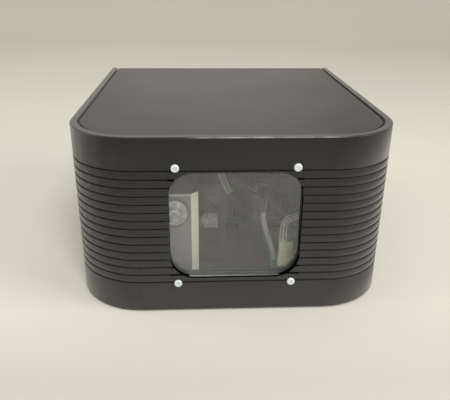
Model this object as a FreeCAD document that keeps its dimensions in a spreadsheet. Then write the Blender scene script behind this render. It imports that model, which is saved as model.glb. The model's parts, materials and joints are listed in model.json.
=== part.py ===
import FreeCAD, Part

import math
import os
from types import SimpleNamespace

import Sketcher

# Laser show projector: a grooved aluminium case with a front window, two scanner mirrors, three
# laser modules, the boards and supply that drive them, and the fittings of the rear panel.
# Millimetres. +Z is up, the window looks along -Y, and +X is on the right seen from the front.
# The origin lies on the surface that the projector stands on, under the middle of its whole box.

SIZES = {
    # Case
    "width": 200,
    "depth": 224,
    "shell_height": 113,
    "corner_radius": 43,
    "wall": 4.5,
    "rim_chamfer": 0.6,
    "groove_count": 15,
    "groove_pitch": 5.2,
    "groove_width": 1.3,
    "groove_depth": 1.6,
    "ledge_width": 6,
    "ledge_thickness": 3,
    "post_width": 9,
    "post_depth": 10,
    "lid_thickness": 2,
    "lid_recess": 0.5,
    "lid_gap": 1.5,
    "lid_flange": 8,
    "base_thickness": 1.5,
    "base_recess": 1.5,
    "base_gap": 0.5,
    "vent_count": 5,
    "vent_pitch": 7,
    "vent_width": 3,
    "vent_length": 46,
    "vent_rear": 52,
    "vent_left": 36,
    "panel_thickness": 2,
    "panel_gap": 0.3,
    "foot_standout": 1,
    "foot_radius": 8,
    "foot_pin_radius": 2.4,
    "foot_side": 62,
    "foot_front": 38,
    "foot_rear": 32,
    "bush_radius": 8,
    "bush_thread_radius": 3.4,
    "bush_flange_radius": 11,
    "bush_flange": 2,
    "bush_length": 12,
    "bush_back": 112,
    # Fasteners
    "screw_radius": 1.4,
    "screw_clearance": 0.2,
    "screw_head_radius": 2.75,
    "screw_head_height": 1.6,
    "screw_length": 7,
    "slot_width": 0.8,
    "slot_depth": 0.7,
    "head_crown_share": 0.4,
    "base_screw_front": 58,
    "base_screw_rear": 36,
    "base_screw_rows": 3,
    "lid_screw_inset": 16.5,
    "panel_screw_inset": 12,
    # Front window
    "window_width": 79,
    "window_height": 69,
    "window_lift": 0.8,
    "window_radius": 15,
    "window_seat": 0.5,
    "glass_margin_side": 4,
    "glass_margin_height": 1.2,
    "glass_thickness": 3,
    "glass_radius": 6,
    "seal_thickness": 1,
    "seal_setback": 0.5,
    "retainer_margin": 5,
    "retainer_floor": 2.5,
    "retainer_gap": 0.2,
    "window_screw_side": 35,
    "window_screw_rise": 37.7,
    "window_screw_radius": 1.2,
    "window_head_radius": 2.4,
    "window_head_height": 1.4,
    "window_screw_length": 10,
    # Optical bench
    "standoff_radius": 3.5,
    "bench_rise": 5,
    "bench_thickness": 6,
    "bench_left": 77,
    "bench_right": 16,
    "bench_front": 16,
    "bench_back": 165,
    "bench_bevel_side": 22,
    "bench_bevel_back": 24,
    "standoff_inset": 6,
    # Scanner
    "scan_side": 12.5,
    "scan_back": 30,
    "scan_drop": 8.5,
    "mirror_gap": 13,
    "tower_left": 50,
    "tower_right": 22,
    "tower_back": 58,
    "tower_rise": 16,
    "tower_chamfer": 4.5,
    "mount_front": 38,
    "mount_reach": 9,
    "mount_rise": 9,
    "motor_radius": 6.5,
    "motor_length": 26,
    "motor_clearance": 0.05,
    "motor_standout": 1,
    "beam_radius": 4,
    "shaft_radius": 1.5,
    "shaft_clearance": 0.05,
    "shaft_inside": 20,
    "clamp_radius": 2.6,
    "clamp_length": 4,
    "clamp_gap": 1,
    "mirror_grip": 3,
    "mirror_thickness": 1,
    "x_mirror_width": 7,
    "x_mirror_length": 10,
    "y_mirror_width": 10,
    "y_mirror_length": 9.5,
    "mirror_angle": 45,
    "disc_side": 37,
    "disc_rise": 4,
    "disc_radius": 9.6,
    "disc_thickness": 1.6,
    "disc_ring_radius": 7,
    "disc_ring_depth": 0.6,
    "disc_bolt_radius": 3,
    "disc_bolt_height": 1.4,
    # Laser modules
    "column_side": 63,
    "laser_length": 30,
    "laser_width": 28,
    "laser_height": 28,
    "fin_floor": 5,
    "fin_count": 6,
    "fin_gap": 2.4,
    "lens_radius": 4.5,
    "lens_length": 6,
    "lens_bore": 2,
    "lens_gap": 10,
    "red_row": 78,
    "green_row": 110,
    "blue_row": 128,
    "filter_width": 14,
    "filter_height": 14,
    "filter_thickness": 1.2,
    "holder_width": 12,
    # Boards
    "board_thickness": 1.6,
    "board_rise": 13,
    "board_inset": 4,
    "board_standoff_radius": 2.6,
    "driver_left": 25.5,
    "driver_wall_gap": 15.5,
    "driver_front": 20,
    "driver_length": 50,
    "header_side": 4.5,
    "header_front": 2,
    "header_width": 10,
    "header_depth": 6,
    "header_height": 8,
    "header_spacing": 20,
    "signal_header_side": 18,
    "plug_inset": 0.5,
    "plug_height": 9,
    "sink_width": 11,
    "sink_length": 32,
    "sink_height": 28,
    "sink_inset": 3,
    "sink_fin_gap": 2.5,
    "sink_fin_depth": 8,
    "sink_fin_pitch": 5,
    "sink_fin_count": 6,
    "laser_board_left": -14,
    "laser_board_right": 14,
    "laser_board_front": 84,
    "laser_board_back": 160,
    "laser_board_rise": 5,
    "capacitor_radius": 5,
    "capacitor_height": 16,
    "capacitor_pitch": 13,
    "small_chip": 9,
    "chip_height": 2.5,
    # Power supply
    "cage_left": 24,
    "cage_wall_gap": 8.5,
    "cage_length": 66,
    "cage_rear_gap": 42,
    "cage_height": 36,
    "cage_sheet": 1.2,
    "supply_gap": 2,
    "supply_rise": 5,
    "transformer_width": 25,
    "transformer_depth": 24,
    "transformer_height": 22,
    "terminal_width": 38,
    "terminal_depth": 12,
    "terminal_height": 13,
    "terminal_pitch": 6,
    # Fan
    "fan_size": 50,
    "fan_depth": 20,
    "fan_bore": 23.8,
    "fan_hole_spacing": 40,
    "fan_hole_radius": 2.2,
    "fan_strut_width": 4,
    "fan_strut_depth": 3,
    "fan_stator_radius": 9,
    "fan_hub_radius": 10.5,
    "fan_tip_radius": 22.6,
    "fan_rotor_depth": 13,
    "fan_gap": 0.5,
    "fan_blade_count": 7,
    "fan_blade_chord": 10,
    "fan_blade_thickness": 1.5,
    "fan_blade_margin": 1,
    "fan_shaft_radius": 1.5,
    "fan_shaft_clearance": 0.06,
    "guard_wire": 1,
    "guard_gap": 0.1,
    "guard_ring_step": 6.2,
    "guard_ring_count": 3,
    "guard_eye_radius": 3.6,
    "fan_screw_radius": 1.9,
    "fan_screw_head_radius": 3.7,
    "fan_screw_length": 13,
    # Control column of the rear panel
    "board_back_gap": 12.4,
    "main_board_width": 54,
    "main_board_margin": 3,
    "display_width": 42,
    "display_height": 16,
    "display_gap": 0.1,
    "display_thickness": 2.4,
    "module_margin": 1.5,
    "module_depth": 9,
    "button_pitch": 12,
    "button_radius": 3,
    "button_clearance": 0.3,
    "button_standout": 1.8,
    "button_flange_radius": 4.2,
    "button_flange": 1.4,
    "button_travel": 0.5,
    "switch_width": 6,
    "switch_height": 5,
    "show_flange_width": 53,
    "show_flange_height": 12.5,
    "show_flange": 1,
    "show_shell_width": 39,
    "show_shell_height": 8.6,
    "show_shell_standout": 5,
    "show_shell_slant": 1.5,
    "show_pin_radius": 0.6,
    "show_pin_pitch": 2.76,
    "show_pin_row": 1.4,
    "show_pin_depth": 4,
    "show_post_side": 23.5,
    "show_post_radius": 2.4,
    "dmx_spacing": 27,
    "dmx_flange_width": 26,
    "dmx_flange_height": 31,
    "dmx_flange": 2.5,
    "dmx_flange_radius": 3,
    "dmx_body_radius": 11.6,
    "dmx_body_depth": 18,
    "dmx_cavity_radius": 9.3,
    "dmx_cavity_depth": 14,
    "dmx_insert_radius": 8,
    "dmx_pin_circle": 4.6,
    "dmx_pin_radius": 1.2,
    "dmx_pin_standout": 8,
    "dmx_hole_clearance": 0.2,
    "dmx_screw_side": 9.5,
    "dmx_screw_rise": 12,
    # Power column of the rear panel
    "inlet_flange_width": 31,
    "inlet_flange_height": 24,
    "inlet_flange": 2.5,
    "inlet_radius": 3,
    "inlet_body_width": 27,
    "inlet_body_height": 19.6,
    "inlet_body_depth": 20,
    "inlet_recess_width": 24,
    "inlet_recess_height": 16.4,
    "inlet_recess_depth": 18,
    "inlet_pin_width": 2,
    "inlet_pin_height": 4,
    "inlet_pin_side": 7,
    "inlet_pin_drop": 2,
    "inlet_earth_rise": 3,
    "inlet_pin_setback": 5,
    "inlet_tab": 7,
    "fitting_clearance": 0.2,
    "rocker_bezel_width": 15,
    "rocker_bezel_height": 21,
    "rocker_bezel": 1.8,
    "rocker_body_width": 13,
    "rocker_body_height": 19,
    "rocker_body_depth": 14,
    "rocker_cavity_width": 11.2,
    "rocker_cavity_depth": 11,
    "rocker_width": 10.6,
    "rocker_radius": 8.3,
    "rocker_end_gap": 0.3,
    "rocker_below": 3,
    "rocker_above": 4.2,
    "rocker_dish": 1.2,
    "rocker_dish_radius": 30,
    "rocker_pivot_depth": 0.6,
    "rocker_pin_radius": 1,
    "rocker_pin_reach": 6.2,
    "rocker_pin_clearance": 0.05,
    "rocker_tilt": 10,
    "lock_bezel_radius": 11,
    "lock_bezel": 3,
    "lock_body_radius": 9.4,
    "lock_body_depth": 22,
    "lock_nut_radius": 12.5,
    "lock_nut": 3,
    "lock_bore_depth": 20,
    "lock_barrel_radius": 6,
    "lock_barrel_clearance": 0.08,
    "lock_barrel_gap": 0.3,
    "key_width": 8,
    "key_thickness": 2,
    "key_blade": 14,
    "key_slot_clearance": 0.1,
    "key_neck": 5,
    "key_bow_radius": 10,
    "key_bow_hole": 3,
    # Wires
    "wire_radius": 0.65,
    "mains_wire_radius": 1.1,
    "wire_step": 2,
    "lead_inset": 4.5,
    "lead_side": 9,
    # How far cutting tools run past what they cut
    "overrun": 5,
}


class Size:
    """A length with its number and the sheet formula that gives it, so that a sum keeps both."""

    def __init__(self, value, text):
        self.value = value
        self.text = text

    def joined(self, sign, other, value):
        return Size(value, f"({self.text} {sign} {other.text})")

    def __add__(self, other):
        other = as_size(other)
        return self.joined("+", other, self.value + other.value)

    def __sub__(self, other):
        other = as_size(other)
        return self.joined("-", other, self.value - other.value)

    def __mul__(self, other):
        other = as_size(other)
        return self.joined("*", other, self.value * other.value)

    def __truediv__(self, other):
        other = as_size(other)
        return self.joined("/", other, self.value / other.value)

    def __neg__(self):
        return Size(-self.value, f"(0 - {self.text})")


def as_size(item):
    """A count, a factor or zero joins a sum as it is."""
    return item if isinstance(item, Size) else Size(item, repr(item))


def size_sheet(values):
    """Writes the driving dimensions to the sheet and gives each one back under its alias."""
    sheet = doc.addObject("Spreadsheet::Sheet", "Sizes")
    for row, (alias, value) in enumerate(values.items(), start=1):
        sheet.set(f"A{row}", alias)
        sheet.set(f"B{row}", str(value))
        sheet.setAlias(f"B{row}", alias)
    doc.recompute()
    return SimpleNamespace(**{alias: Size(sheet.get(alias), f"Sizes.{alias}") for alias in values})


doc = FreeCAD.newDocument("LaserShowProjector")
dim = size_sheet(SIZES)
nodes = {}

# Places that several pieces share
half = dim.width / 2
inner = half - dim.wall
bottom = dim.foot_standout
top = bottom + dim.shell_height
middle = bottom + dim.shell_height / 2
base_under = bottom + dim.base_recess
base_top = base_under + dim.base_thickness
lid_top = top - dim.lid_recess
lid_under = lid_top - dim.lid_thickness
key_reach = dim.lock_bezel + dim.key_neck + dim.key_bow_radius * 2
front = (dim.window_head_height + dim.lid_thickness - dim.depth - key_reach) / 2
shell_rear = front + dim.depth
rear_face = shell_rear - dim.lid_thickness
rear_inside = rear_face - dim.panel_thickness
window_seat = front + dim.wall - dim.window_seat
window_z = middle + dim.window_lift
glass_width = dim.window_width + dim.glass_margin_side * 2
glass_height = dim.window_height + dim.glass_margin_height * 2
glass_front = window_seat + dim.seal_thickness
glass_back = glass_front + dim.glass_thickness
bench_top = base_top + dim.bench_rise + dim.bench_thickness
scan_x = -dim.scan_side
scan_y = front + dim.scan_back
scan_z = middle - dim.scan_drop
beam_z = scan_z + dim.mirror_gap
tower_front = front + dim.bench_front
column_x = -dim.column_side
board_under = base_top + dim.board_rise
board_top = board_under + dim.board_thickness
header_top = board_top + dim.header_height
plug_top = header_top + dim.plug_height
supply_top = base_top + dim.cage_sheet + dim.supply_rise + dim.board_thickness
terminal_top = supply_top + dim.terminal_height
laser_board_under = bench_top + dim.laser_board_rise
laser_board_top = laser_board_under + dim.board_thickness
main_board_back = rear_inside - dim.board_back_gap
main_board_front = main_board_back - dim.board_thickness
fan_front = rear_inside - dim.fan_depth
driver_right = inner - dim.driver_wall_gap
driver_near = front + dim.driver_front
driver_far = driver_near + dim.driver_length
cage_right = inner - dim.cage_wall_gap
cage_far = rear_inside - dim.cage_rear_gap
cage_near = cage_far - dim.cage_length

# The rear panel's three columns stand between its posts, with even gaps beside them
panel_side = inner - dim.post_width
column_gap = (panel_side * 2 - dim.fan_size - dim.show_flange_width - dim.inlet_flange_width) / 4
fan_x = column_gap + dim.fan_size / 2 - panel_side
power_x = panel_side - column_gap - dim.inlet_flange_width / 2
control_x = power_x - (dim.inlet_flange_width + dim.show_flange_width) / 2 - column_gap

# Each column's fittings are stacked from the base to the lid's flange, with even gaps
panel_high = lid_under - dim.lid_flange
control_stack = (dim.dmx_flange_height + dim.show_flange_height + dim.button_flange_radius * 2
                 + dim.display_height)
control_gap = (panel_high - base_top - control_stack) / 5
dmx_z = base_top + control_gap + dim.dmx_flange_height / 2
show_z = dmx_z + (dim.dmx_flange_height + dim.show_flange_height) / 2 + control_gap
button_z = show_z + dim.show_flange_height / 2 + control_gap + dim.button_flange_radius
display_z = button_z + dim.button_flange_radius + control_gap + dim.display_height / 2
power_stack = dim.inlet_flange_height + dim.rocker_bezel_height + dim.lock_nut_radius * 2
power_gap = (panel_high - base_top - power_stack) / 4
inlet_z = base_top + power_gap + dim.inlet_flange_height / 2
rocker_z = inlet_z + (dim.inlet_flange_height + dim.rocker_bezel_height) / 2 + power_gap
lock_z = rocker_z + dim.rocker_bezel_height / 2 + power_gap + dim.lock_nut_radius
signal_header_x = control_x + dim.signal_header_side

SIDES = (-1, 1)
SIGNS = ((-1, -1), (1, -1), (1, 1), (-1, 1))


# Solids bound to the sheet

TURN_TO_AXIS = {
    "x": FreeCAD.Rotation(FreeCAD.Vector(0, 1, 0), 90),
    "y": FreeCAD.Rotation(FreeCAD.Vector(1, 0, 0), -90),
    "z": FreeCAD.Rotation(),
}


def bind(item, **formulas):
    """Binds properties of an object to sizes; Base_x and the like mean the parts of its Placement."""
    for name, size in formulas.items():
        path = f"Placement.Base.{name[-1]}" if name.startswith("Base_") else name
        item.setExpression(path, as_size(size).text)
    return item


def block(x, y, z):
    """A block between a low and a high place on each axis."""
    made = doc.addObject("Part::Box", "block")
    lengths = [as_size(high) - low for low, high in (x, y, z)]
    return bind(made, Length=lengths[0], Width=lengths[1], Height=lengths[2],
                Base_x=x[0], Base_y=y[0], Base_z=z[0])


def centred_block(x, y, z):
    """A block between two places on Y, given by a centre and a size on X and on Z."""
    return block((x[0] - x[1] / 2, x[0] + x[1] / 2), y, (z[0] - z[1] / 2, z[0] + z[1] / 2))


def along(axis, centre, start):
    """The start point of something that runs along an axis, whose centre gives the other two places."""
    place = list(centre)
    place.insert("xyz".index(axis), start)
    return dict(zip(("Base_x", "Base_y", "Base_z"), place))


def rod(axis, centre, radius, low, high):
    """A cylinder along an axis, between a low and a high place on it."""
    made = doc.addObject("Part::Cylinder", "rod")
    made.Placement = FreeCAD.Placement(FreeCAD.Vector(), TURN_TO_AXIS[axis])
    return bind(made, Radius=radius, Height=as_size(high) - low, **along(axis, centre, low))


def taper(axis, centre, low_radius, high_radius, low, high):
    """A cone frustum along an axis."""
    made = doc.addObject("Part::Cone", "taper")
    made.Placement = FreeCAD.Placement(FreeCAD.Vector(), TURN_TO_AXIS[axis])
    return bind(made, Radius1=low_radius, Radius2=high_radius, Height=as_size(high) - low,
                **along(axis, centre, low))


def hoop(centre, radius, wire):
    """A wire ring round an axis along Y."""
    made = doc.addObject("Part::Torus", "hoop")
    made.Placement = FreeCAD.Placement(FreeCAD.Vector(), TURN_TO_AXIS["y"])
    return bind(made, Radius1=radius, Radius2=wire, Base_x=centre[0], Base_y=centre[1], Base_z=centre[2])


def fuse(*shapes):
    made = doc.addObject("Part::MultiFuse", "fused")
    made.Shapes = list(shapes)
    made.Refine = True
    return made


def cut(base, *tools):
    made = base
    for tool in tools:
        step = doc.addObject("Part::Cut", "cut")
        step.Base = made
        step.Tool = tool
        made = step
    return made


def common(*shapes):
    made = doc.addObject("Part::MultiCommon", "common")
    made.Shapes = list(shapes)
    return made


def group(shapes):
    """Separate solids that share one node."""
    made = doc.addObject("Part::Compound", "group")
    made.Links = list(shapes)
    return made


def turned(item, axis, angle, x, y, z):
    """Turns a finished piece about its own origin and sets it in place."""
    item.Placement = FreeCAD.Placement(FreeCAD.Vector(), FreeCAD.Rotation(axis, as_size(angle).value))
    item.setExpression("Placement.Rotation.Angle", as_size(angle).text)
    return bind(item, Base_x=x, Base_y=y, Base_z=z)


def node(label, item):
    """Names a finished sub-part, which is written to the file of that name."""
    item.Label = label
    nodes[label] = item
    return item


# Bodies made from sketches

def body(label):
    return node(label, doc.addObject("PartDesign::Body", label))


def origin_of(of_body, role):
    return next(item for item in of_body.Origin.OriginFeatures if item.Role == role)


def sketch_on(of_body, role, lift, name):
    made = of_body.newObject("Sketcher::SketchObject", name)
    made.AttachmentSupport = [(origin_of(of_body, role), "")]
    made.MapMode = "FlatFace"
    made.setExpression("AttachmentOffset.Base.z", as_size(lift).text)
    return made


def sketch_at_z(of_body, z, name="plan"):
    """A level sketch in X and Y, whose normal is +Z."""
    return sketch_on(of_body, "XY_Plane", z, name)


def sketch_at_y(of_body, y, name="face"):
    """An upright sketch in X and Z, whose normal is -Y."""
    return sketch_on(of_body, "XZ_Plane", -as_size(y), name)


def sketch_at_x(of_body, x, name="side"):
    """An upright sketch in Y and Z, whose normal is +X."""
    return sketch_on(of_body, "YZ_Plane", x, name)


def hold(sketch, kind, places, size):
    """Adds a dimension to a sketch and binds it to the sheet; a zero place lies on the axis."""
    size = as_size(size)
    if size.text == "0":
        axis = {"DistanceX": -2, "DistanceY": -1}[kind]
        sketch.addConstraint(Sketcher.Constraint("PointOnObject", *places, axis))
        return
    number = sketch.addConstraint(Sketcher.Constraint(kind, *places, float(size.value)))
    sketch.renameConstraint(number, f"{kind}{number}")
    sketch.setExpression(f"Constraints.{kind}{number}", size.text)


def flat(x, y):
    return FreeCAD.Vector(as_size(x).value, as_size(y).value, 0)


def arc_between(start, stop, centre, radius, turn):
    """The arc from start to stop round a centre, anticlockwise when turn is positive."""
    angles = [math.atan2(point.y - centre.y, point.x - centre.x) for point in (start, stop)]
    first, last = angles if turn > 0 else reversed(angles)
    if last < first:
        last += 2 * math.pi
    circle = Part.Circle(centre, FreeCAD.Vector(0, 0, 1), as_size(radius).value)
    return Part.ArcOfCircle(circle, first, last)


def outline(sketch, steps):
    """Draws a closed outline. A step is a corner (x, y), from which a line runs to the next one, or
    (x, y, centre x, centre y, radius, turn), from which an arc does."""
    ends = []
    for here, after in zip(steps, steps[1:] + steps[:1]):
        start, stop = flat(*here[:2]), flat(*after[:2])
        if len(here) == 2:
            ends.append((sketch.addGeometry(Part.LineSegment(start, stop)), 1, 2))
            continue
        centre, radius, turn = flat(*here[2:4]), here[4], here[5]
        index = sketch.addGeometry(arc_between(start, stop, centre, radius, turn))
        ends.append((index, 1, 2) if turn > 0 else (index, 2, 1))
        hold(sketch, "Radius", (index,), radius)
    for (one, _, last), (other, first, _) in zip(ends, ends[1:] + ends[:1]):
        sketch.addConstraint(Sketcher.Constraint("Coincident", one, last, other, first))
    for step, (index, first, _) in zip(steps, ends):
        hold(sketch, "DistanceX", (index, first), step[0])
        hold(sketch, "DistanceY", (index, first), step[1])


def rectangle(sketch, left, right, low, high):
    outline(sketch, [(left, low), (right, low), (right, high), (left, high)])


def centred_rectangle(sketch, x, y, width, height):
    rectangle(sketch, as_size(x) - width / 2, as_size(x) + width / 2,
              as_size(y) - height / 2, as_size(y) + height / 2)


def rounded_rectangle(sketch, x, y, width, height, radius):
    left, right = as_size(x) - width / 2, as_size(x) + width / 2
    low, high = as_size(y) - height / 2, as_size(y) + height / 2
    outline(sketch, [
        (left + radius, low),
        (right - radius, low, right - radius, low + radius, radius, 1),
        (right, low + radius),
        (right, high - radius, right - radius, high - radius, radius, 1),
        (right - radius, high),
        (left + radius, high, left + radius, high - radius, radius, 1),
        (left, high - radius),
        (left, low + radius, left + radius, low + radius, radius, 1)])


def ring(sketch, x, y, radius):
    index = sketch.addGeometry(Part.Circle(flat(x, y), FreeCAD.Vector(0, 0, 1), as_size(radius).value))
    hold(sketch, "DistanceX", (index, 3), x)
    hold(sketch, "DistanceY", (index, 3), y)
    hold(sketch, "Radius", (index,), radius)


def pad(of_body, sketch, length, reverse=False):
    """Adds material along the sketch's normal, or against it when reversed."""
    made = of_body.newObject("PartDesign::Pad", "pad")
    made.Profile = sketch
    made.Reversed = reverse
    return bind(made, Length=length)


def pocket(of_body, sketch, length, both_ways=False):
    """Removes material against the sketch's normal, or half of the length to each side."""
    made = of_body.newObject("PartDesign::Pocket", "pocket")
    made.Profile = sketch
    if both_ways:
        made.SideType = "Symmetric"
    return bind(made, Length=length)


def repeat_along(of_body, feature, axis, length, count):
    made = of_body.newObject("PartDesign::LinearPattern", "row")
    made.Originals = [feature]
    made.Direction = (origin_of(of_body, axis), [""])
    bind(made, Length=length, Occurrences=count)
    of_body.Tip = made
    return made


def repeat_round(of_body, feature, axis, count):
    made = of_body.newObject("PartDesign::PolarPattern", "circle")
    made.Originals = [feature]
    made.Axis = (origin_of(of_body, axis), [""])
    made.Angle = 360
    bind(made, Occurrences=count)
    of_body.Tip = made
    return made


# Fasteners

def pan_screw(axis, way, centre, face, radius, length, head_radius, head_height):
    """A pan-head screw with a cross slot; way is the side of the face that its head is on."""
    def span(start, stop):
        return (start, stop) if way > 0 else (stop, start)

    tip = face - length * way
    flank_share = as_size(1) - dim.head_crown_share
    shoulder = face + head_height * flank_share * way
    crown = face + head_height * way
    rim = head_radius * (flank_share + dim.head_crown_share / 2)
    slot_floor = crown - dim.slot_depth * way
    past = crown + dim.overrun * way
    shank = rod(axis, centre, radius, *span(tip, face))
    head = rod(axis, centre, head_radius, *span(face, shoulder))
    radii = (head_radius, rim) if way > 0 else (rim, head_radius)
    dome = taper(axis, centre, *radii, *span(shoulder, crown))
    slots = []
    for long_way in (0, 1):
        reach = [dim.slot_width / 2, dim.slot_width / 2]
        reach[long_way] = rim * flank_share
        spans = [(place - size, place + size) for place, size in zip(centre, reach)]
        spans.insert("xyz".index(axis), span(slot_floor, past))
        slots.append(block(*spans))
    return cut(fuse(shank, head, dome), *slots)


def machine_screw(axis, way, centre, face, length=None):
    """The small screw that holds the covers and fittings."""
    return pan_screw(axis, way, centre, face, dim.screw_radius, length or dim.screw_length,
                     dim.screw_head_radius, dim.screw_head_height)


# Case

def u_band(sketch, outer_inset, inner_inset, rear):
    """A U-shaped band along the case outline, between two insets from its outside."""
    turn_x, turn_y = half - dim.corner_radius, front + dim.corner_radius
    outer_x, inner_x = half - outer_inset, half - inner_inset
    outer_y, inner_y = front + outer_inset, front + inner_inset
    outer_radius = dim.corner_radius - outer_inset
    inner_radius = dim.corner_radius - inner_inset
    outline(sketch, [
        (-outer_x, rear),
        (-outer_x, turn_y, -turn_x, turn_y, outer_radius, 1),
        (-turn_x, outer_y),
        (turn_x, outer_y, turn_x, turn_y, outer_radius, 1),
        (outer_x, turn_y),
        (outer_x, rear),
        (inner_x, rear),
        (inner_x, turn_y, turn_x, turn_y, inner_radius, -1),
        (turn_x, inner_y),
        (-turn_x, inner_y, -turn_x, turn_y, inner_radius, -1),
        (-inner_x, turn_y),
        (-inner_x, rear)])


def u_plate(sketch, inset, rear):
    """A plate outline that follows the case outline at an inset from its outside."""
    turn_x, turn_y = half - dim.corner_radius, front + dim.corner_radius
    side_x, front_y = half - inset, front + inset
    radius = dim.corner_radius - inset
    outline(sketch, [
        (-side_x, rear),
        (-side_x, turn_y, -turn_x, turn_y, radius, 1),
        (-turn_x, front_y),
        (turn_x, front_y, turn_x, turn_y, radius, 1),
        (side_x, turn_y),
        (side_x, rear)])


def base_screw_places():
    side = inner - dim.ledge_width / 2
    pitch = (dim.depth - dim.base_screw_front - dim.base_screw_rear) / (dim.base_screw_rows - 1)
    return [(side * sign, front + dim.base_screw_front + pitch * row)
            for sign in SIDES for row in range(SIZES["base_screw_rows"])]


def window_screw_places():
    return [(dim.window_screw_side * x, window_z + dim.window_screw_rise * z) for x, z in SIGNS]


def panel_screw_places():
    side = inner - dim.post_width / 2
    heights = (base_top + dim.panel_screw_inset, panel_high - dim.panel_screw_inset)
    return [(side * sign, height) for sign in SIDES for height in heights]


def lid_screw_places():
    height = lid_under - dim.lid_flange / 2
    return [((panel_side - dim.lid_screw_inset) * step, height) for step in (-1, 0, 1)]


def make_shell():
    """The bent profile: grooved front and sides, ledges for lid and base, posts for the rear panel."""
    shell = body("front_side_shell")
    plan = sketch_at_z(shell, bottom)
    u_band(plan, as_size(0), dim.wall, shell_rear)
    pad(shell, plan, dim.shell_height)
    lap = dim.wall / 2
    for height in (base_top, lid_under - dim.ledge_thickness):
        ledge = sketch_at_z(shell, height, "ledge")
        u_band(ledge, lap, dim.wall + dim.ledge_width, rear_inside)
        pad(shell, ledge, dim.ledge_thickness)
    posts = sketch_at_z(shell, base_top, "posts")
    for sign in SIDES:
        faces = sorted([(inner + lap) * sign, panel_side * sign], key=lambda face: face.value)
        rectangle(posts, *faces, rear_inside - dim.post_depth, rear_inside)
    pad(shell, posts, lid_under - base_top)
    openings = sketch_at_y(shell, front, "front_openings")
    rounded_rectangle(openings, 0, window_z, dim.window_width, dim.window_height, dim.window_radius)
    for x, z in window_screw_places():
        ring(openings, x, z, dim.window_screw_radius + dim.screw_clearance)
    pocket(shell, openings, dim.wall)
    seat = sketch_at_y(shell, window_seat, "window_seat")
    room = (dim.retainer_margin + dim.retainer_gap) * 2
    centred_rectangle(seat, 0, window_z, glass_width + room, glass_height + room)
    pocket(shell, seat, dim.window_seat + dim.overrun)
    bushes = sketch_at_x(shell, 0, "bush_holes")
    ring(bushes, front + dim.bush_back, middle, dim.bush_radius)
    pocket(shell, bushes, dim.width + dim.overrun, both_ways=True)
    base_holes = sketch_at_z(shell, base_top + dim.ledge_thickness, "base_holes")
    for x, y in base_screw_places():
        ring(base_holes, x, y, dim.screw_radius)
    pocket(shell, base_holes, dim.ledge_thickness)
    post_holes = sketch_at_y(shell, rear_inside - dim.post_depth, "post_holes")
    for x, z in panel_screw_places():
        ring(post_holes, x, z, dim.screw_radius)
    pocket(shell, post_holes, dim.post_depth)
    chamfer_rims(shell)
    groove_span = dim.groove_pitch * (dim.groove_count - 1)
    groove_plan = sketch_at_z(shell, middle - groove_span / 2 + dim.groove_width / 2, "groove")
    u_band(groove_plan, -dim.overrun, dim.groove_depth, shell_rear + dim.overrun)
    groove = pocket(shell, groove_plan, dim.groove_width)
    repeat_along(shell, groove, "Z_Axis", groove_span, dim.groove_count)


def chamfer_rims(shell):
    """Breaks the outer edges of the upper and lower rims."""
    doc.recompute()
    last = shell.Tip
    names = []
    for number, edge in enumerate(last.Shape.Edges, start=1):
        box = edge.BoundBox
        level = min(abs(box.ZMin - top.value), abs(box.ZMin - bottom.value)) < Part.Precision.confusion()
        if level and box.ZLength < Part.Precision.confusion() and on_outside(edge):
            names.append(f"Edge{number}")
    chamfer = shell.newObject("PartDesign::Chamfer", "rim_chamfer")
    chamfer.Base = (last, names)
    bind(chamfer, Size=dim.rim_chamfer)


def on_outside(edge):
    """Whether an edge of the shell lies on its outside."""
    point = edge.valueAt((edge.FirstParameter + edge.LastParameter) / 2)
    turn_x, turn_y = half.value - dim.corner_radius.value, front.value + dim.corner_radius.value
    beyond = math.hypot(max(abs(point.x) - turn_x, 0), max(turn_y - point.y, 0))
    return abs(beyond - dim.corner_radius.value) < dim.rim_chamfer.value / 2


def make_lid():
    """The flat top plate, with a flange that folds down over the rear panel."""
    lid = body("top_lid")
    plan = sketch_at_z(lid, lid_under)
    u_plate(plan, dim.wall + dim.lid_gap, shell_rear)
    pad(lid, plan, dim.lid_thickness)
    side = inner - dim.lid_gap
    flange = sketch_at_y(lid, rear_face, "flange")
    rectangle(flange, -side, side, lid_under - dim.lid_flange, lid_top)
    for x, z in lid_screw_places():
        ring(flange, x, z, dim.screw_radius + dim.screw_clearance)
    pad(lid, flange, dim.lid_thickness, reverse=True)


def make_base():
    """The bottom plate, with air slots behind the bench and holes for screws and feet."""
    base = body("base_plate")
    plan = sketch_at_z(base, base_under)
    u_plate(plan, dim.wall + dim.base_gap, shell_rear)
    for x, y in base_screw_places():
        ring(plan, x, y, dim.screw_radius + dim.screw_clearance)
    for x, y in foot_places():
        ring(plan, x, y, dim.foot_pin_radius)
    pad(base, plan, dim.base_thickness)
    slot = sketch_at_z(base, base_top, "vent")
    left, near = -dim.vent_left, shell_rear - dim.vent_rear
    rectangle(slot, left, left + dim.vent_length, near, near + dim.vent_width)
    vent = pocket(base, slot, dim.base_thickness)
    repeat_along(base, vent, "Y_Axis", dim.vent_pitch * (dim.vent_count - 1), dim.vent_count)


def foot_places():
    rows = (front + dim.foot_front, shell_rear - dim.foot_rear)
    return [(dim.foot_side * sign, row) for sign in SIDES for row in rows]


def make_feet():
    """Rubber feet, each with a pin pressed through the base plate."""
    feet = []
    for place in foot_places():
        pad_part = rod("z", place, dim.foot_radius, 0, base_under)
        pin = rod("z", place, dim.foot_pin_radius, base_under, base_top)
        feet.append(fuse(pad_part, pin))
    node("rubber_feet", group(feet))


def side_span(side, outer, depth):
    """From an outer place to a depth further in, on the left or the right of the case."""
    return (outer - depth, outer) if side > 0 else (-outer, depth - outer)


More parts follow.
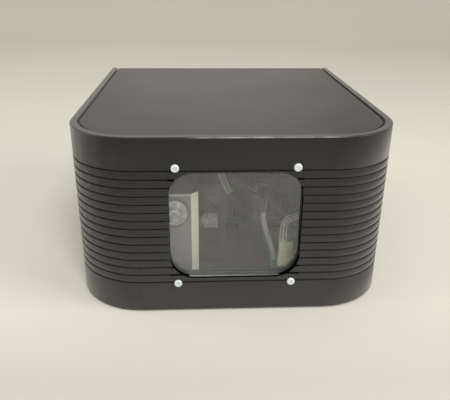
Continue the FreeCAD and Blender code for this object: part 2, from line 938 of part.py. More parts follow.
def make_bushes():
    """Threaded bushes in the side walls, for a hanging bracket."""
    centre = (front + dim.bush_back, middle)
    bushes = []
    for side in SIDES:
        barrel = rod("x", centre, dim.bush_radius, *side_span(side, half, dim.bush_length))
        flange = rod("x", centre, dim.bush_flange_radius, *side_span(side, inner, dim.bush_flange))
        thread = rod("x", centre, dim.bush_thread_radius,
                     *side_span(side, half + dim.overrun, dim.bush_length + dim.overrun * 2))
        bushes.append(cut(fuse(barrel, flange), thread))
    node("bracket_bushes", group(bushes))


def make_rear_panel():
    """The sheet that closes the back, with an opening for each fitting."""
    panel = body("rear_panel")
    face = sketch_at_y(panel, rear_inside)
    side = inner - dim.panel_gap
    rectangle(face, -side, side, base_top, lid_under)
    for x, z in panel_screw_places() + lid_screw_places():
        ring(face, x, z, dim.screw_radius + dim.screw_clearance)
    ring(face, fan_x, middle, dim.fan_bore)
    for x, z in fan_screw_places():
        ring(face, x, z, dim.fan_hole_radius)
    centred_rectangle(face, control_x, display_z, dim.display_width, dim.display_height)
    for x in button_places():
        ring(face, x, button_z, dim.button_radius + dim.button_clearance)
    centred_rectangle(face, control_x, show_z, dim.show_shell_width, dim.show_shell_height)
    for side in SIDES:
        ring(face, control_x + dim.show_post_side * side, show_z, dim.screw_radius)
    for x in dmx_places():
        ring(face, x, dmx_z, dim.dmx_body_radius + dim.dmx_hole_clearance)
        for screw_x, screw_z in dmx_screw_places(x):
            ring(face, screw_x, screw_z, dim.screw_radius)
    gap = dim.fitting_clearance * 2
    centred_rectangle(face, power_x, inlet_z,
                      dim.inlet_body_width + gap, dim.inlet_body_height + gap)
    centred_rectangle(face, power_x, rocker_z,
                      dim.rocker_body_width + gap, dim.rocker_body_height + gap)
    ring(face, power_x, lock_z, dim.lock_body_radius + dim.fitting_clearance)
    pad(panel, face, dim.panel_thickness, reverse=True)


def make_case_screws():
    node("base_screws", group([machine_screw("z", -1, place, base_under) for place in base_screw_places()]))
    lid_screws = [machine_screw("y", 1, place, shell_rear) for place in lid_screw_places()]
    panel_screws = [machine_screw("y", 1, place, rear_face) for place in panel_screw_places()]
    socket_screws = [machine_screw("y", 1, place, rear_face + dim.dmx_flange)
                     for x in dmx_places() for place in dmx_screw_places(x)]
    node("rear_screws", group(lid_screws + panel_screws + socket_screws + show_posts()))


# Front window

def make_window():
    """The glass with its seal, held from behind by a tray-shaped frame and four screws."""
    seal = body("window_seal")
    seal_face = sketch_at_y(seal, window_seat)
    setback = dim.seal_setback
    rounded_rectangle(seal_face, 0, window_z, glass_width, glass_height, dim.glass_radius)
    rounded_rectangle(seal_face, 0, window_z, dim.window_width + setback * 2, dim.window_height + setback * 2,
                      dim.window_radius + setback)
    pad(seal, seal_face, dim.seal_thickness, reverse=True)

    glass = body("window_glass")
    glass_face = sketch_at_y(glass, glass_front)
    rounded_rectangle(glass_face, 0, window_z, glass_width, glass_height, dim.glass_radius)
    pad(glass, glass_face, dim.glass_thickness, reverse=True)

    retainer = body("window_retainer")
    tray = dim.seal_thickness + dim.glass_thickness
    margin = dim.retainer_margin * 2
    frame_face = sketch_at_y(retainer, window_seat)
    rounded_rectangle(frame_face, 0, window_z, glass_width + margin, glass_height + margin,
                      dim.glass_radius + dim.retainer_margin / 2)
    pad(retainer, frame_face, tray + dim.retainer_floor, reverse=True)
    gap = dim.retainer_gap
    recess = sketch_at_y(retainer, window_seat, "recess")
    rounded_rectangle(recess, 0, window_z, glass_width + gap * 2, glass_height + gap * 2,
                      dim.glass_radius + gap)
    pocket(retainer, recess, tray)
    opening = sketch_at_y(retainer, window_seat, "opening")
    rounded_rectangle(opening, 0, window_z, dim.window_width, dim.window_height, dim.window_radius)
    for x, z in window_screw_places():
        ring(opening, x, z, dim.window_screw_radius)
    pocket(retainer, opening, tray + dim.retainer_floor)

    node("window_screws", group([
        pan_screw("y", -1, place, front, dim.window_screw_radius, dim.window_screw_length,
                  dim.window_head_radius, dim.window_head_height)
        for place in window_screw_places()]))


# Optical bench and scanner

def bench_standoff_places():
    inset = dim.standoff_inset
    right, near, far = dim.bench_right - inset, tower_front + inset, front + dim.bench_back - inset
    return [(dim.bench_bevel_side - dim.bench_left + inset, near), (right, near),
            (inset - dim.bench_left, far), (right, far)]


def make_bench():
    """The thick plate that carries the lasers and the scanner, bevelled beside the case's corner."""
    plate = body("optical_plate")
    plan = sketch_at_z(plate, base_top + dim.bench_rise)
    left, right, far = -dim.bench_left, dim.bench_right, front + dim.bench_back
    outline(plan, [(left, tower_front + dim.bench_bevel_back), (left + dim.bench_bevel_side, tower_front),
                   (right, tower_front), (right, far), (left, far)])
    pad(plate, plan, dim.bench_thickness)


def make_tower():
    """The upright block beside the window that holds the Y scanner and lets the beam through."""
    tower = body("scanner_tower")
    left, right, back = -dim.tower_left, -dim.tower_right, front + dim.tower_back
    plan = sketch_at_z(tower, bench_top)
    bevel = dim.tower_chamfer
    outline(plan, [(left, tower_front), (right - bevel, tower_front), (right, tower_front + bevel),
                   (right, back), (left, back)])
    pad(tower, plan, middle + dim.tower_rise - bench_top)
    bores = sketch_at_x(tower, right, "y_bore")
    ring(bores, scan_y, scan_z, dim.motor_radius + dim.motor_clearance)
    ring(bores, scan_y, beam_z, dim.beam_radius)
    pocket(tower, bores, dim.tower_left - dim.tower_right)


def x_scanner_mount():
    """The block beside the tower that holds the X scanner, with its mirror above the Y mirror."""
    near, far = front + dim.mount_front, front + dim.tower_back
    bore = rod("y", (scan_x, beam_z), dim.motor_radius + dim.motor_clearance,
               near - dim.overrun, far + dim.overrun)
    return cut(block((-dim.tower_right, scan_x + dim.mount_reach), (near, far),
                     (bench_top, beam_z + dim.mount_rise)), bore)


def make_clamp_disc():
    """The round clamp on the tower's front, with a turned ring and its bolt head."""
    centre = (-dim.disc_side, middle + dim.disc_rise)
    face = tower_front - dim.disc_thickness
    disc = rod("y", centre, dim.disc_radius, face, tower_front)
    groove = cut(rod("y", centre, dim.disc_ring_radius, face - dim.overrun, face + dim.disc_ring_depth),
                 rod("y", centre, dim.disc_ring_radius - dim.disc_bolt_radius / 2, face - dim.overrun * 2,
                     face + dim.overrun))
    bolt = rod("y", centre, dim.disc_bolt_radius, face - dim.disc_bolt_height, face)
    socket = rod("y", centre, dim.disc_bolt_radius / 2, face - dim.overrun, face - dim.disc_bolt_height / 2)
    node("tower_clamp_disc", cut(fuse(disc, bolt), groove, socket))


def make_motors():
    """The two scanner motors, one in the tower's bore and one in its own mount."""
    bore = dim.shaft_radius + dim.shaft_clearance
    inside = dim.shaft_inside + dim.shaft_clearance
    y_right = -dim.tower_right + dim.motor_standout
    y_centre = (scan_y, scan_z)
    y_can = rod("x", y_centre, dim.motor_radius, y_right - dim.motor_length, y_right)
    y_hole = rod("x", y_centre, bore, y_right - inside, y_right + dim.overrun)
    node("y_scanner_motor", cut(y_can, y_hole))
    x_front = front + dim.mount_front - dim.motor_standout
    x_centre = (scan_x, beam_z)
    x_can = rod("y", x_centre, dim.motor_radius, x_front, x_front + dim.motor_length)
    x_hole = rod("y", x_centre, bore, x_front - dim.overrun, x_front + inside)
    node("x_scanner_motor", cut(x_can, x_hole))


def scanner_shaft(axis, way, reach, label):
    """A shaft whose clamp grips the mirror. Its origin is the mirror's middle; way points to the motor."""
    def span(start, stop):
        return (start, stop) if way > 0 else (stop * way, start * way)

    middle_of_axis = (0, 0)
    grip = reach - dim.clamp_gap - dim.clamp_length
    clamp = rod(axis, middle_of_axis, dim.clamp_radius, *span(grip, grip + dim.clamp_length))
    shaft = rod(axis, middle_of_axis, dim.shaft_radius, *span(grip + dim.clamp_length / 2,
                                                             reach + dim.shaft_inside))
    across = (-dim.clamp_radius - dim.overrun, dim.clamp_radius + dim.overrun)
    thin = (-dim.mirror_thickness / 2, dim.mirror_thickness / 2)
    deep = span(grip - dim.overrun, grip + dim.mirror_grip)
    slot = block(deep, across, thin) if axis == "x" else block(across, deep, thin)
    return node(label, cut(fuse(clamp, shaft), slot)), grip


def make_scanner_axis(axis, way, reach, width, length, name, place):
    """A shaft and its mirror, both turned to the mirror's angle about the shaft."""
    shaft, grip = scanner_shaft(axis, way, reach, f"{name}_scanner_shaft")
    held = grip + dim.mirror_grip
    run = (held - length, held) if way > 0 else (-held, length - held)
    across = (-width / 2, width / 2)
    thin = (-dim.mirror_thickness / 2, dim.mirror_thickness / 2)
    plate = block(run, across, thin) if axis == "x" else block(across, run, thin)
    mirror = node(f"{name}_scanner_mirror", group([plate]))
    direction = FreeCAD.Vector(1, 0, 0) if axis == "x" else FreeCAD.Vector(0, 1, 0)
    for piece in (shaft, mirror):
        turned(piece, direction, dim.mirror_angle, *place)


def make_scanner():
    make_tower()
    make_clamp_disc()
    make_motors()
    y_reach = dim.scan_side * -1 + dim.tower_right - dim.motor_standout
    make_scanner_axis("x", -1, y_reach, dim.y_mirror_width, dim.y_mirror_length, "y",
                      (scan_x, scan_y, scan_z))
    x_reach = dim.mount_front - dim.motor_standout - dim.scan_back
    make_scanner_axis("y", 1, x_reach, dim.x_mirror_width, dim.x_mirror_length, "x",
                      (scan_x, scan_y, beam_z))


# Lasers

def laser_block(x, y, fin_axis):
    """A laser's finned housing between two places on X and Y, centred on the beam's height."""
    low, high = beam_z - dim.laser_height / 2, beam_z + dim.laser_height / 2
    housing = block(x, y, (low, high))
    span = x if fin_axis == "x" else y
    pitch = (span[1] - span[0]) / (dim.fin_count + 1)
    gaps = []
    for number in range(1, SIZES["fin_count"] + 1):
        centre = span[0] + pitch * number
        slot = (centre - dim.fin_gap / 2, centre + dim.fin_gap / 2)
        past_x = (x[0] - dim.overrun, x[1] + dim.overrun)
        past_y = (y[0] - dim.overrun, y[1] + dim.overrun)
        height = (beam_z + dim.fin_floor, high + dim.overrun)
        gaps.append(block(slot, past_y, height) if fin_axis == "x" else block(past_x, slot, height))
    return cut(housing, group(gaps))


def laser_riser(x, y):
    return block(x, y, (bench_top, beam_z - dim.laser_height / 2))


def make_lasers():
    """Three laser modules on risers: red and green shine across, blue along the column."""
    half_width = dim.laser_width / 2
    front_x = column_x + dim.lens_gap + dim.lens_length
    risers, lenses = [], []
    for colour, row in (("red", dim.red_row), ("green", dim.green_row)):
        x = (front_x, front_x + dim.laser_length)
        y = (front + row - half_width, front + row + half_width)
        node(f"{colour}_laser_module", laser_block(x, y, "x"))
        risers.append(laser_riser(x, y))
        centre = (front + row, beam_z)
        lenses.append(cut(rod("x", centre, dim.lens_radius, front_x - dim.lens_length, front_x),
                          rod("x", centre, dim.lens_bore, front_x - dim.lens_length - dim.overrun,
                              front_x - dim.lens_length / 2)))
    near = front + dim.blue_row
    x = (column_x - half_width, column_x + half_width)
    y = (near, near + dim.laser_length)
    node("blue_laser_module", laser_block(x, y, "y"))
    risers.append(laser_riser(x, y))
    centre = (column_x, beam_z)
    lenses.append(cut(rod("y", centre, dim.lens_radius, near - dim.lens_length, near),
                      rod("y", centre, dim.lens_bore, near - dim.lens_length - dim.overrun,
                          near - dim.lens_length / 2)))
    node("bench_mounts", group(risers + [x_scanner_mount()]))
    node("laser_lenses", group(lenses))


def slanted_plate(place, angle):
    """An upright optical plate at an angle to the beam, standing on its holder."""
    thin = (-dim.filter_thickness / 2, dim.filter_thickness / 2)
    wide = (-dim.filter_width / 2, dim.filter_width / 2)
    plate = group([block(thin, wide, (0, dim.filter_height))])
    return turned(plate, FreeCAD.Vector(0, 0, 1), angle, *place, beam_z - dim.filter_height / 2)


def make_filters():
    """Dichroic filters that join the beams, and the mirror that sends them to the scanner."""
    rows = [front + dim.red_row, front + dim.green_row]
    reach = dim.holder_width / 2
    holders = []
    for row in rows + [scan_y]:
        holders.append(block((column_x - reach, column_x + reach), (row - reach, row + reach),
                             (bench_top, beam_z - dim.filter_height / 2)))
    node("filter_holders", group(holders))
    node("dichroic_filters", group([slanted_plate((column_x, row), -dim.mirror_angle) for row in rows]))
    node("fold_mirror", slanted_plate((column_x, scan_y), dim.mirror_angle))


# Boards

def board_corner_places(left, right, near, far):
    inset = dim.board_inset
    return [(x, y) for x in (left + inset, right - inset) for y in (near + inset, far - inset)]


def capacitor_row(x, first, count, floor):
    return [rod("z", (x, first + dim.capacitor_pitch * number), dim.capacitor_radius, floor,
                floor + dim.capacitor_height) for number in range(count)]


def header_places():
    x = dim.driver_left + dim.header_side + dim.header_width / 2
    first = driver_near + dim.header_front + dim.header_depth / 2
    return [(x, first), (x + dim.header_spacing, first)]


def make_driver_board():
    """The scanner driver behind the window, with its heat sink, headers and plugs."""
    board = ((dim.driver_left, driver_right), (driver_near, driver_far))
    node("scanner_driver_board", block(*board, (board_under, board_top)))
    headers = []
    for x, y in header_places():
        reach, rise, inset = dim.header_width / 2, dim.header_depth / 2, dim.plug_inset
        headers.append(block((x - reach, x + reach), (y - rise, y + rise), (board_top, header_top)))
        headers.append(block((x - reach + inset, x + reach - inset), (y - rise + inset, y + rise - inset),
                             (header_top, plug_top)))
    headers.append(centred_block((signal_header_x, dim.header_width),
                                 (main_board_front - dim.header_height, main_board_front),
                                 (button_z, dim.header_depth)))
    node("wire_headers", group(headers))
    sink = body("driver_heatsink")
    plan = sketch_at_z(sink, board_top)
    sink_right = driver_right - dim.sink_inset
    sink_back = driver_far - dim.sink_inset
    rectangle(plan, sink_right - dim.sink_width, sink_right, sink_back - dim.sink_length, sink_back)
    pad(sink, plan, dim.sink_height)
    gap_plan = sketch_at_z(sink, board_top + dim.sink_height, "fin_gap")
    first = sink_back - dim.sink_length + dim.sink_fin_gap
    rectangle(gap_plan, sink_right - dim.sink_fin_depth, sink_right + dim.overrun,
              first, first + dim.sink_fin_gap)
    gap = pocket(sink, gap_plan, dim.sink_height)
    repeat_along(sink, gap, "Y_Axis", dim.sink_fin_pitch * (dim.sink_fin_count - 1), dim.sink_fin_count)
    return board_corner_places(dim.driver_left, driver_right, driver_near, driver_far)


def make_laser_board():
    """The current driver of the lasers, beside them on the bench."""
    near, far = front + dim.laser_board_front, front + dim.laser_board_back
    node("laser_driver_board", block((dim.laser_board_left, dim.laser_board_right), (near, far),
                                     (laser_board_under, laser_board_top)))
    return board_corner_places(dim.laser_board_left, dim.laser_board_right, near, far)


def supply_span():
    inside = dim.cage_sheet + dim.supply_gap
    return (dim.cage_left + inside, cage_right - inside,
            cage_near + dim.supply_gap, cage_far - dim.supply_gap)


def make_supply():
    """The mains supply: a board in a bent-sheet cage that is open at the top and the ends."""
    left, right = dim.cage_left, cage_right
    run = (cage_near, cage_far)
    floor_top, high = base_top + dim.cage_sheet, base_top + dim.cage_height
    node("power_supply_cage", fuse(
        block((left, right), run, (base_top, floor_top)),
        block((left, left + dim.cage_sheet), run, (base_top, high)),
        block((right - dim.cage_sheet, right), run, (base_top, high))))
    board_left, board_right, near, far = supply_span()
    node("power_supply_board", block((board_left, board_right), (near, far),
                                     (floor_top + dim.supply_rise, supply_top)))
    return board_corner_places(board_left, board_right, near, far)


def make_components():
    """The larger components that stand on the boards."""
    parts = []
    driver_mid = (dim.driver_left + driver_right) / 2
    behind_headers = driver_near + dim.header_front + dim.header_depth * 3
    parts += capacitor_row(driver_mid, behind_headers + dim.capacitor_pitch / 2, 2, board_top)
    laser_mid = (dim.laser_board_left + dim.laser_board_right) / 2
    parts += capacitor_row(laser_mid, front + dim.laser_board_front + dim.capacitor_pitch, 4, laser_board_top)
    left, right, near, far = supply_span()
    y = near + dim.capacitor_pitch
    parts.append(block((right - dim.supply_gap - dim.transformer_width, right - dim.supply_gap),
                       (y, y + dim.transformer_depth), (supply_top, supply_top + dim.transformer_height)))
    parts += capacitor_row(left + dim.capacitor_pitch / 2, y, 3, supply_top)
    mid = (left + right) / 2
    parts.append(block((mid - dim.terminal_width / 2, mid + dim.terminal_width / 2),
                       (far - dim.terminal_depth, far), (supply_top, terminal_top)))
    chip = dim.small_chip
    for side in SIDES:
        x = control_x + chip * 2 * side
        parts.append(centred_block((x, chip), (main_board_front - dim.chip_height, main_board_front),
                                   (show_z, chip)))
    for x in button_places():
        parts.append(centred_block((x, dim.switch_width),
                                   (main_board_back, main_board_back + dim.switch_height),
                                   (button_z, dim.switch_width)))
    node("board_components", group(parts))


def make_standoffs(driver_places, laser_places, supply_places):
    """Pillars under the bench and the boards, and those that hold the main board to the rear panel."""
    pillars = [rod("z", place, dim.standoff_radius, base_top, base_top + dim.bench_rise)
               for place in bench_standoff_places()]
    radius = dim.board_standoff_radius
    pillars += [rod("z", place, radius, base_top, board_under) for place in driver_places]
    pillars += [rod("z", place, radius, bench_top, laser_board_under) for place in laser_places]
    floor = base_top + dim.cage_sheet
    pillars += [rod("z", place, radius, floor, floor + dim.supply_rise) for place in supply_places]
    pillars += [rod("y", place, radius, main_board_back, rear_inside) for place in main_board_corners()]
    node("standoffs", group(pillars))


# Rear panel: control column

def main_board_span():
    reach = dim.main_board_width / 2
    margin = dim.main_board_margin
    return (control_x - reach, control_x + reach,
            show_z - dim.show_flange_height / 2 - margin, display_z + dim.display_height / 2 + margin)


def main_board_corners():
    left, right, low, high = main_board_span()
    return board_corner_places(left, right, low, high)


def button_places():
    first = (len(BUTTONS) - 1) / 2
    return [control_x - dim.button_pitch * (number - first) for number in range(len(BUTTONS))]


def dmx_places():
    return [control_x + dim.dmx_spacing / 2 * side for side in SIDES]


def dmx_screw_places(x):
    return [(x + dim.dmx_screw_side * side, dmx_z + dim.dmx_screw_rise * side) for side in SIDES]


BUTTONS = ("menu_button", "down_button", "up_button", "enter_button")


def make_controls():
    """The main board behind the panel, with its display, display window and four buttons."""
    left, right, low, high = main_board_span()
    node("main_board", block((left, right), (main_board_front, main_board_back), (low, high)))
    x, margin = control_x, dim.module_margin * 2
    node("display_module", centred_block((x, dim.display_width - margin),
                                         (main_board_back, main_board_back + dim.module_depth),
                                         (display_z, dim.display_height - margin)))
    window = body("display_window")
    face = sketch_at_y(window, rear_inside)
    gap = dim.display_gap * 2
    centred_rectangle(face, x, display_z, dim.display_width - gap, dim.display_height - gap)
    pad(window, face, dim.display_thickness, reverse=True)
    for label, place in zip(BUTTONS, button_places()):
        make_button(label, place)


def make_button(label, x):
    """A push button: a cap through the panel, and a flange behind it over the switch."""
    centre = (x, button_z)
    seat = main_board_back + dim.switch_height + dim.button_travel + dim.button_clearance
    flange_back = rear_inside - dim.button_clearance
    cap = rod("y", centre, dim.button_radius, seat, rear_face + dim.button_standout)
    flange = rod("y", centre, dim.button_flange_radius, flange_back - dim.button_flange, flange_back)
    node(label, fuse(cap, flange))


def make_show_socket():
    """The 25-pole show-control socket, from the main board out through the panel."""
    socket = body("show_control_socket")
    x = control_x
    inside = sketch_at_y(socket, main_board_back)
    inset = dim.show_flange
    centred_rectangle(inside, x, show_z, dim.show_shell_width - inset, dim.show_shell_height - inset)
    pad(socket, inside, rear_face - main_board_back + dim.show_flange / 2, reverse=True)
    flange = sketch_at_y(socket, rear_face, "flange")
    centred_rectangle(flange, x, show_z, dim.show_flange_width, dim.show_flange_height)
    for side in SIDES:
        ring(flange, x + dim.show_post_side * side, show_z, dim.screw_radius)
    pad(socket, flange, dim.show_flange, reverse=True)
    shell = sketch_at_y(socket, rear_face, "shell")
    wide, high, slant = dim.show_shell_width / 2, dim.show_shell_height / 2, dim.show_shell_slant
    outline(shell, [(x - wide + slant, show_z - high), (x + wide - slant, show_z - high),
                    (x + wide, show_z + high), (x - wide, show_z + high)])
    pad(socket, shell, dim.show_flange + dim.show_shell_standout, reverse=True)
    for count, side in ((13, 1), (12, -1)):
        make_pin_row(socket, count, side)


def make_pin_row(socket, count, side):
    """One row of contact holes, cut from the socket's face."""
    face = rear_face + dim.show_flange + dim.show_shell_standout
    holes = sketch_at_y(socket, face - dim.show_pin_depth, "contacts")
    for number in range(count):
        offset = dim.show_pin_pitch * (number - (count - 1) / 2)
        ring(holes, control_x + offset, show_z + dim.show_pin_row * side, dim.show_pin_radius)
    pocket(socket, holes, dim.show_pin_depth)


def show_posts():
    """Threaded posts beside the show-control socket."""
    posts = []
    for side in SIDES:
        centre = (control_x + dim.show_post_side * side, show_z)
        face = rear_face + dim.show_flange
        collar = rod("y", centre, dim.show_post_radius, face, face + dim.show_shell_standout)
        stud = rod("y", centre, dim.screw_radius, rear_face - dim.screw_length / 2, face)
        bore = rod("y", centre, dim.screw_radius, face + dim.show_flange,
                   face + dim.show_shell_standout + dim.overrun)
        posts.append(cut(fuse(collar, stud), bore))
    return posts


def dmx_pins(x):
    """Three contacts on a circle, at the left, the right and the bottom."""
    spots = ((-1, 0), (1, 0), (0, -1))
    return [(x + dim.dmx_pin_circle * across, dmx_z + dim.dmx_pin_circle * up) for across, up in spots]


def dmx_shell(x, label):
    """A round socket body behind a screwed flange."""
    shell = body(label)
    flange = sketch_at_y(shell, rear_face)
    rounded_rectangle(flange, x, dmx_z, dim.dmx_flange_width, dim.dmx_flange_height, dim.dmx_flange_radius)
    for screw_x, screw_z in dmx_screw_places(x):
        ring(flange, screw_x, screw_z, dim.screw_radius + dim.screw_clearance)
    pad(shell, flange, dim.dmx_flange, reverse=True)
    barrel = sketch_at_y(shell, rear_face - dim.dmx_body_depth, "barrel")
    ring(barrel, x, dmx_z, dim.dmx_body_radius)
    pad(shell, barrel, dim.dmx_body_depth + dim.dmx_flange / 2, reverse=True)
    return shell


def make_dmx_sockets():
    """The data inlet, a cavity with three pins, and the outlet, an insert with three holes."""
    out_x, in_x = dmx_places()
    face = rear_face + dim.dmx_flange
    floor = face - dim.dmx_cavity_depth
    inlet = dmx_shell(in_x, "dmx_in_socket")
    cavity = sketch_at_y(inlet, floor, "cavity")
    ring(cavity, in_x, dmx_z, dim.dmx_cavity_radius)
    pocket(inlet, cavity, dim.dmx_cavity_depth)
    seats = sketch_at_y(inlet, rear_face - dim.dmx_body_depth, "pin_seats")
    for pin in dmx_pins(in_x):
        ring(seats, *pin, dim.dmx_pin_radius)
    pocket(inlet, seats, dim.dmx_body_depth)
    outlet = dmx_shell(out_x, "dmx_out_socket")
    groove = sketch_at_y(outlet, floor, "groove")
    ring(groove, out_x, dmx_z, dim.dmx_cavity_radius)
    ring(groove, out_x, dmx_z, dim.dmx_insert_radius)
    pocket(outlet, groove, dim.dmx_cavity_depth)
    holes = sketch_at_y(outlet, floor, "contacts")
    for pin in dmx_pins(out_x):
        ring(holes, *pin, dim.dmx_pin_radius)
    pocket(outlet, holes, dim.dmx_cavity_depth)
    return [rod("y", pin, dim.dmx_pin_radius, rear_face - dim.dmx_body_depth, floor + dim.dmx_pin_standout)
            for pin in dmx_pins(in_x)]


# Rear panel: power column

def inlet_pin_places():
    """Two blades low at the sides, and the earth blade above, in the middle."""
    x, low = power_x, inlet_z - dim.inlet_pin_drop
    return [(x - dim.inlet_pin_side, low), (x + dim.inlet_pin_side, low), (x, inlet_z + dim.inlet_earth_rise)]


def inlet_pins():
    """The three blades of the mains inlet, with their tabs behind it."""
    face = rear_face + dim.inlet_flange
    run = (rear_face - dim.inlet_body_depth - dim.inlet_tab, face - dim.inlet_pin_setback)
    return [centred_block((x, dim.inlet_pin_width), run, (z, dim.inlet_pin_height))
            for x, z in inlet_pin_places()]


def make_inlet():
    """The mains inlet: a flanged body with a recess round three blades."""
    shell = body("power_inlet")
    x = power_x
    flange = sketch_at_y(shell, rear_face)
    rounded_rectangle(flange, x, inlet_z, dim.inlet_flange_width, dim.inlet_flange_height, dim.inlet_radius)
    pad(shell, flange, dim.inlet_flange, reverse=True)
    rear_part = sketch_at_y(shell, rear_face - dim.inlet_body_depth, "body")
    centred_rectangle(rear_part, x, inlet_z, dim.inlet_body_width, dim.inlet_body_height)
    pad(shell, rear_part, dim.inlet_body_depth + dim.inlet_flange / 2, reverse=True)
    recess = sketch_at_y(shell, rear_face + dim.inlet_flange - dim.inlet_recess_depth, "recess")
    wide, high, bevel = dim.inlet_recess_width / 2, dim.inlet_recess_height / 2, dim.inlet_pin_height
    outline(recess, [(x - wide, inlet_z - high), (x + wide, inlet_z - high),
                     (x + wide, inlet_z + high - bevel), (x + wide - bevel, inlet_z + high),
                     (x - wide + bevel, inlet_z + high), (x - wide, inlet_z + high - bevel)])
    pocket(shell, recess, dim.inlet_recess_depth)
    slots = sketch_at_y(shell, rear_face - dim.inlet_body_depth, "pin_slots")
    for pin_x, pin_z in inlet_pin_places():
        centred_rectangle(slots, pin_x, pin_z, dim.inlet_pin_width, dim.inlet_pin_height)
    pocket(shell, slots, dim.inlet_body_depth)


def make_rocker():
    """The mains switch: a rocker on two pins in a framed well, shown switched off."""
    pivot_y = rear_face + dim.rocker_bezel - dim.rocker_pivot_depth
    x, face = power_x, rear_face + dim.rocker_bezel
    floor = face - dim.rocker_cavity_depth
    well = dim.rocker_radius + dim.rocker_end_gap
    frame = fuse(
        centred_block((x, dim.rocker_bezel_width), (rear_face, face), (rocker_z, dim.rocker_bezel_height)),
        centred_block((x, dim.rocker_body_width), (rear_face - dim.rocker_body_depth, rear_face),
                      (rocker_z, dim.rocker_body_height)))
    cavity = centred_block((x, dim.rocker_cavity_width), (floor, face + dim.overrun), (rocker_z, well * 2))
    sockets = rod("x", (pivot_y, rocker_z), dim.rocker_pin_radius + dim.rocker_pin_clearance,
                  x - dim.rocker_pin_reach - dim.rocker_pin_clearance,
                  x + dim.rocker_pin_reach + dim.rocker_pin_clearance)
    node("rocker_frame", cut(frame, cavity, sockets))
    reach = dim.rocker_width / 2
    drum = rod("x", (0, 0), dim.rocker_radius, -reach, reach)
    band = block((-reach, reach), (-dim.rocker_below, dim.rocker_above),
                 (-dim.rocker_radius, dim.rocker_radius))
    dish_centre = dim.rocker_above - dim.rocker_dish + dim.rocker_dish_radius
    dish = rod("x", (dish_centre, 0), dim.rocker_dish_radius, -reach - dim.overrun, reach + dim.overrun)
    pins = rod("x", (0, 0), dim.rocker_pin_radius, -dim.rocker_pin_reach, dim.rocker_pin_reach)
    paddle = node("rocker", fuse(cut(common(drum, band), dish), pins))
    turned(paddle, FreeCAD.Vector(1, 0, 0), dim.rocker_tilt, x, pivot_y, rocker_z)


def make_lock():
    """The key switch: a bezelled body with its nut, the barrel that turns in it, and the key."""
    centre = (power_x, lock_z)
    face = rear_face + dim.lock_bezel
    bore = dim.lock_barrel_radius + dim.lock_barrel_clearance
    shell = fuse(rod("y", centre, dim.lock_bezel_radius, rear_face, face),
                 rod("y", centre, dim.lock_body_radius, rear_face - dim.lock_body_depth, rear_face),
                 rod("y", centre, dim.lock_nut_radius, rear_inside - dim.lock_nut, rear_inside))
    hollow = rod("y", centre, bore, face - dim.lock_bore_depth, face + dim.overrun)
    node("key_switch_body", cut(shell, hollow))
    barrel = rod("y", centre, dim.lock_barrel_radius, face - dim.lock_bore_depth + dim.lock_barrel_gap, face)
    gap = dim.key_slot_clearance * 2
    slot = centred_block((power_x, dim.key_thickness + gap),
                         (face - dim.key_blade, face + dim.overrun),
                         (lock_z, dim.key_width + gap))
    node("key_barrel", cut(barrel, slot))
    blade = centred_block((power_x, dim.key_thickness),
                          (face - dim.key_blade, face + dim.key_neck + dim.key_bow_radius),
                          (lock_z, dim.key_width))
    bow_centre = (face + dim.key_neck + dim.key_bow_radius, lock_z)
    side = dim.key_thickness / 2
    bow = rod("x", bow_centre, dim.key_bow_radius, power_x - side, power_x + side)
    hole_centre = (face + dim.key_neck + dim.key_bow_radius * 2 - dim.key_bow_hole * 2, lock_z)
    hole = rod("x", hole_centre, dim.key_bow_hole, power_x - dim.overrun, power_x + dim.overrun)
    node("key", cut(fuse(blade, bow), hole))


# Rear panel: fan

def fan_screw_places():
    spacing = dim.fan_hole_spacing / 2
    return [(fan_x + spacing * x, middle + spacing * z) for x, z in SIGNS]


def make_fan_frame():
    """The square frame, with the struts that carry the motor's hub."""
    centre = (fan_x, middle)
    depth = (fan_front, rear_inside)
    strut = (fan_front, fan_front + dim.fan_strut_depth)
    past = (fan_front - dim.overrun, rear_inside + dim.overrun)
    square = centred_block((fan_x, dim.fan_size), depth, (middle, dim.fan_size))
    duct = cut(square, rod("y", centre, dim.fan_bore, *past))
    reach = dim.fan_bore * 2 + dim.fan_gap
    struts = fuse(centred_block((fan_x, reach), strut, (middle, dim.fan_strut_width)),
                  centred_block((fan_x, dim.fan_strut_width), strut, (middle, reach)),
                  rod("y", centre, dim.fan_stator_radius, *strut))
    holes = [rod("y", place, dim.fan_hole_radius, *past) for place in fan_screw_places()]
    bearing = rod("y", centre, dim.fan_shaft_radius + dim.fan_shaft_clearance, *past)
    node("fan_frame", cut(fuse(duct, struts), bearing, *holes))


def make_fan_rotor():
    """Hub, pitched blades and shaft, made upright and then turned to face the rear."""
    rotor = body("fan_rotor")
    hub = sketch_at_z(rotor, 0, "hub")
    ring(hub, 0, 0, dim.fan_hub_radius)
    pad(rotor, hub, dim.fan_rotor_depth)
    shaft = sketch_at_z(rotor, 0, "shaft")
    ring(shaft, 0, 0, dim.fan_shaft_radius)
    pad(rotor, shaft, dim.fan_strut_depth + dim.fan_gap, reverse=True)
    root = dim.fan_hub_radius - dim.fan_blade_thickness
    blade = sketch_at_y(rotor, -root, "blade")
    wide, thick = dim.fan_blade_chord / 2, dim.fan_blade_thickness
    low, high = dim.fan_blade_margin, dim.fan_rotor_depth - dim.fan_blade_margin
    outline(blade, [(-wide, low), (-wide + thick, low), (wide, high), (wide - thick, high)])
    vane = pad(rotor, blade, dim.fan_tip_radius - root)
    repeat_round(rotor, vane, "Z_Axis", dim.fan_blade_count)
    rotor.Placement = FreeCAD.Placement(FreeCAD.Vector(), TURN_TO_AXIS["y"])
    bind(rotor, Base_x=fan_x, Base_y=fan_front + dim.fan_strut_depth + dim.fan_gap, Base_z=middle)


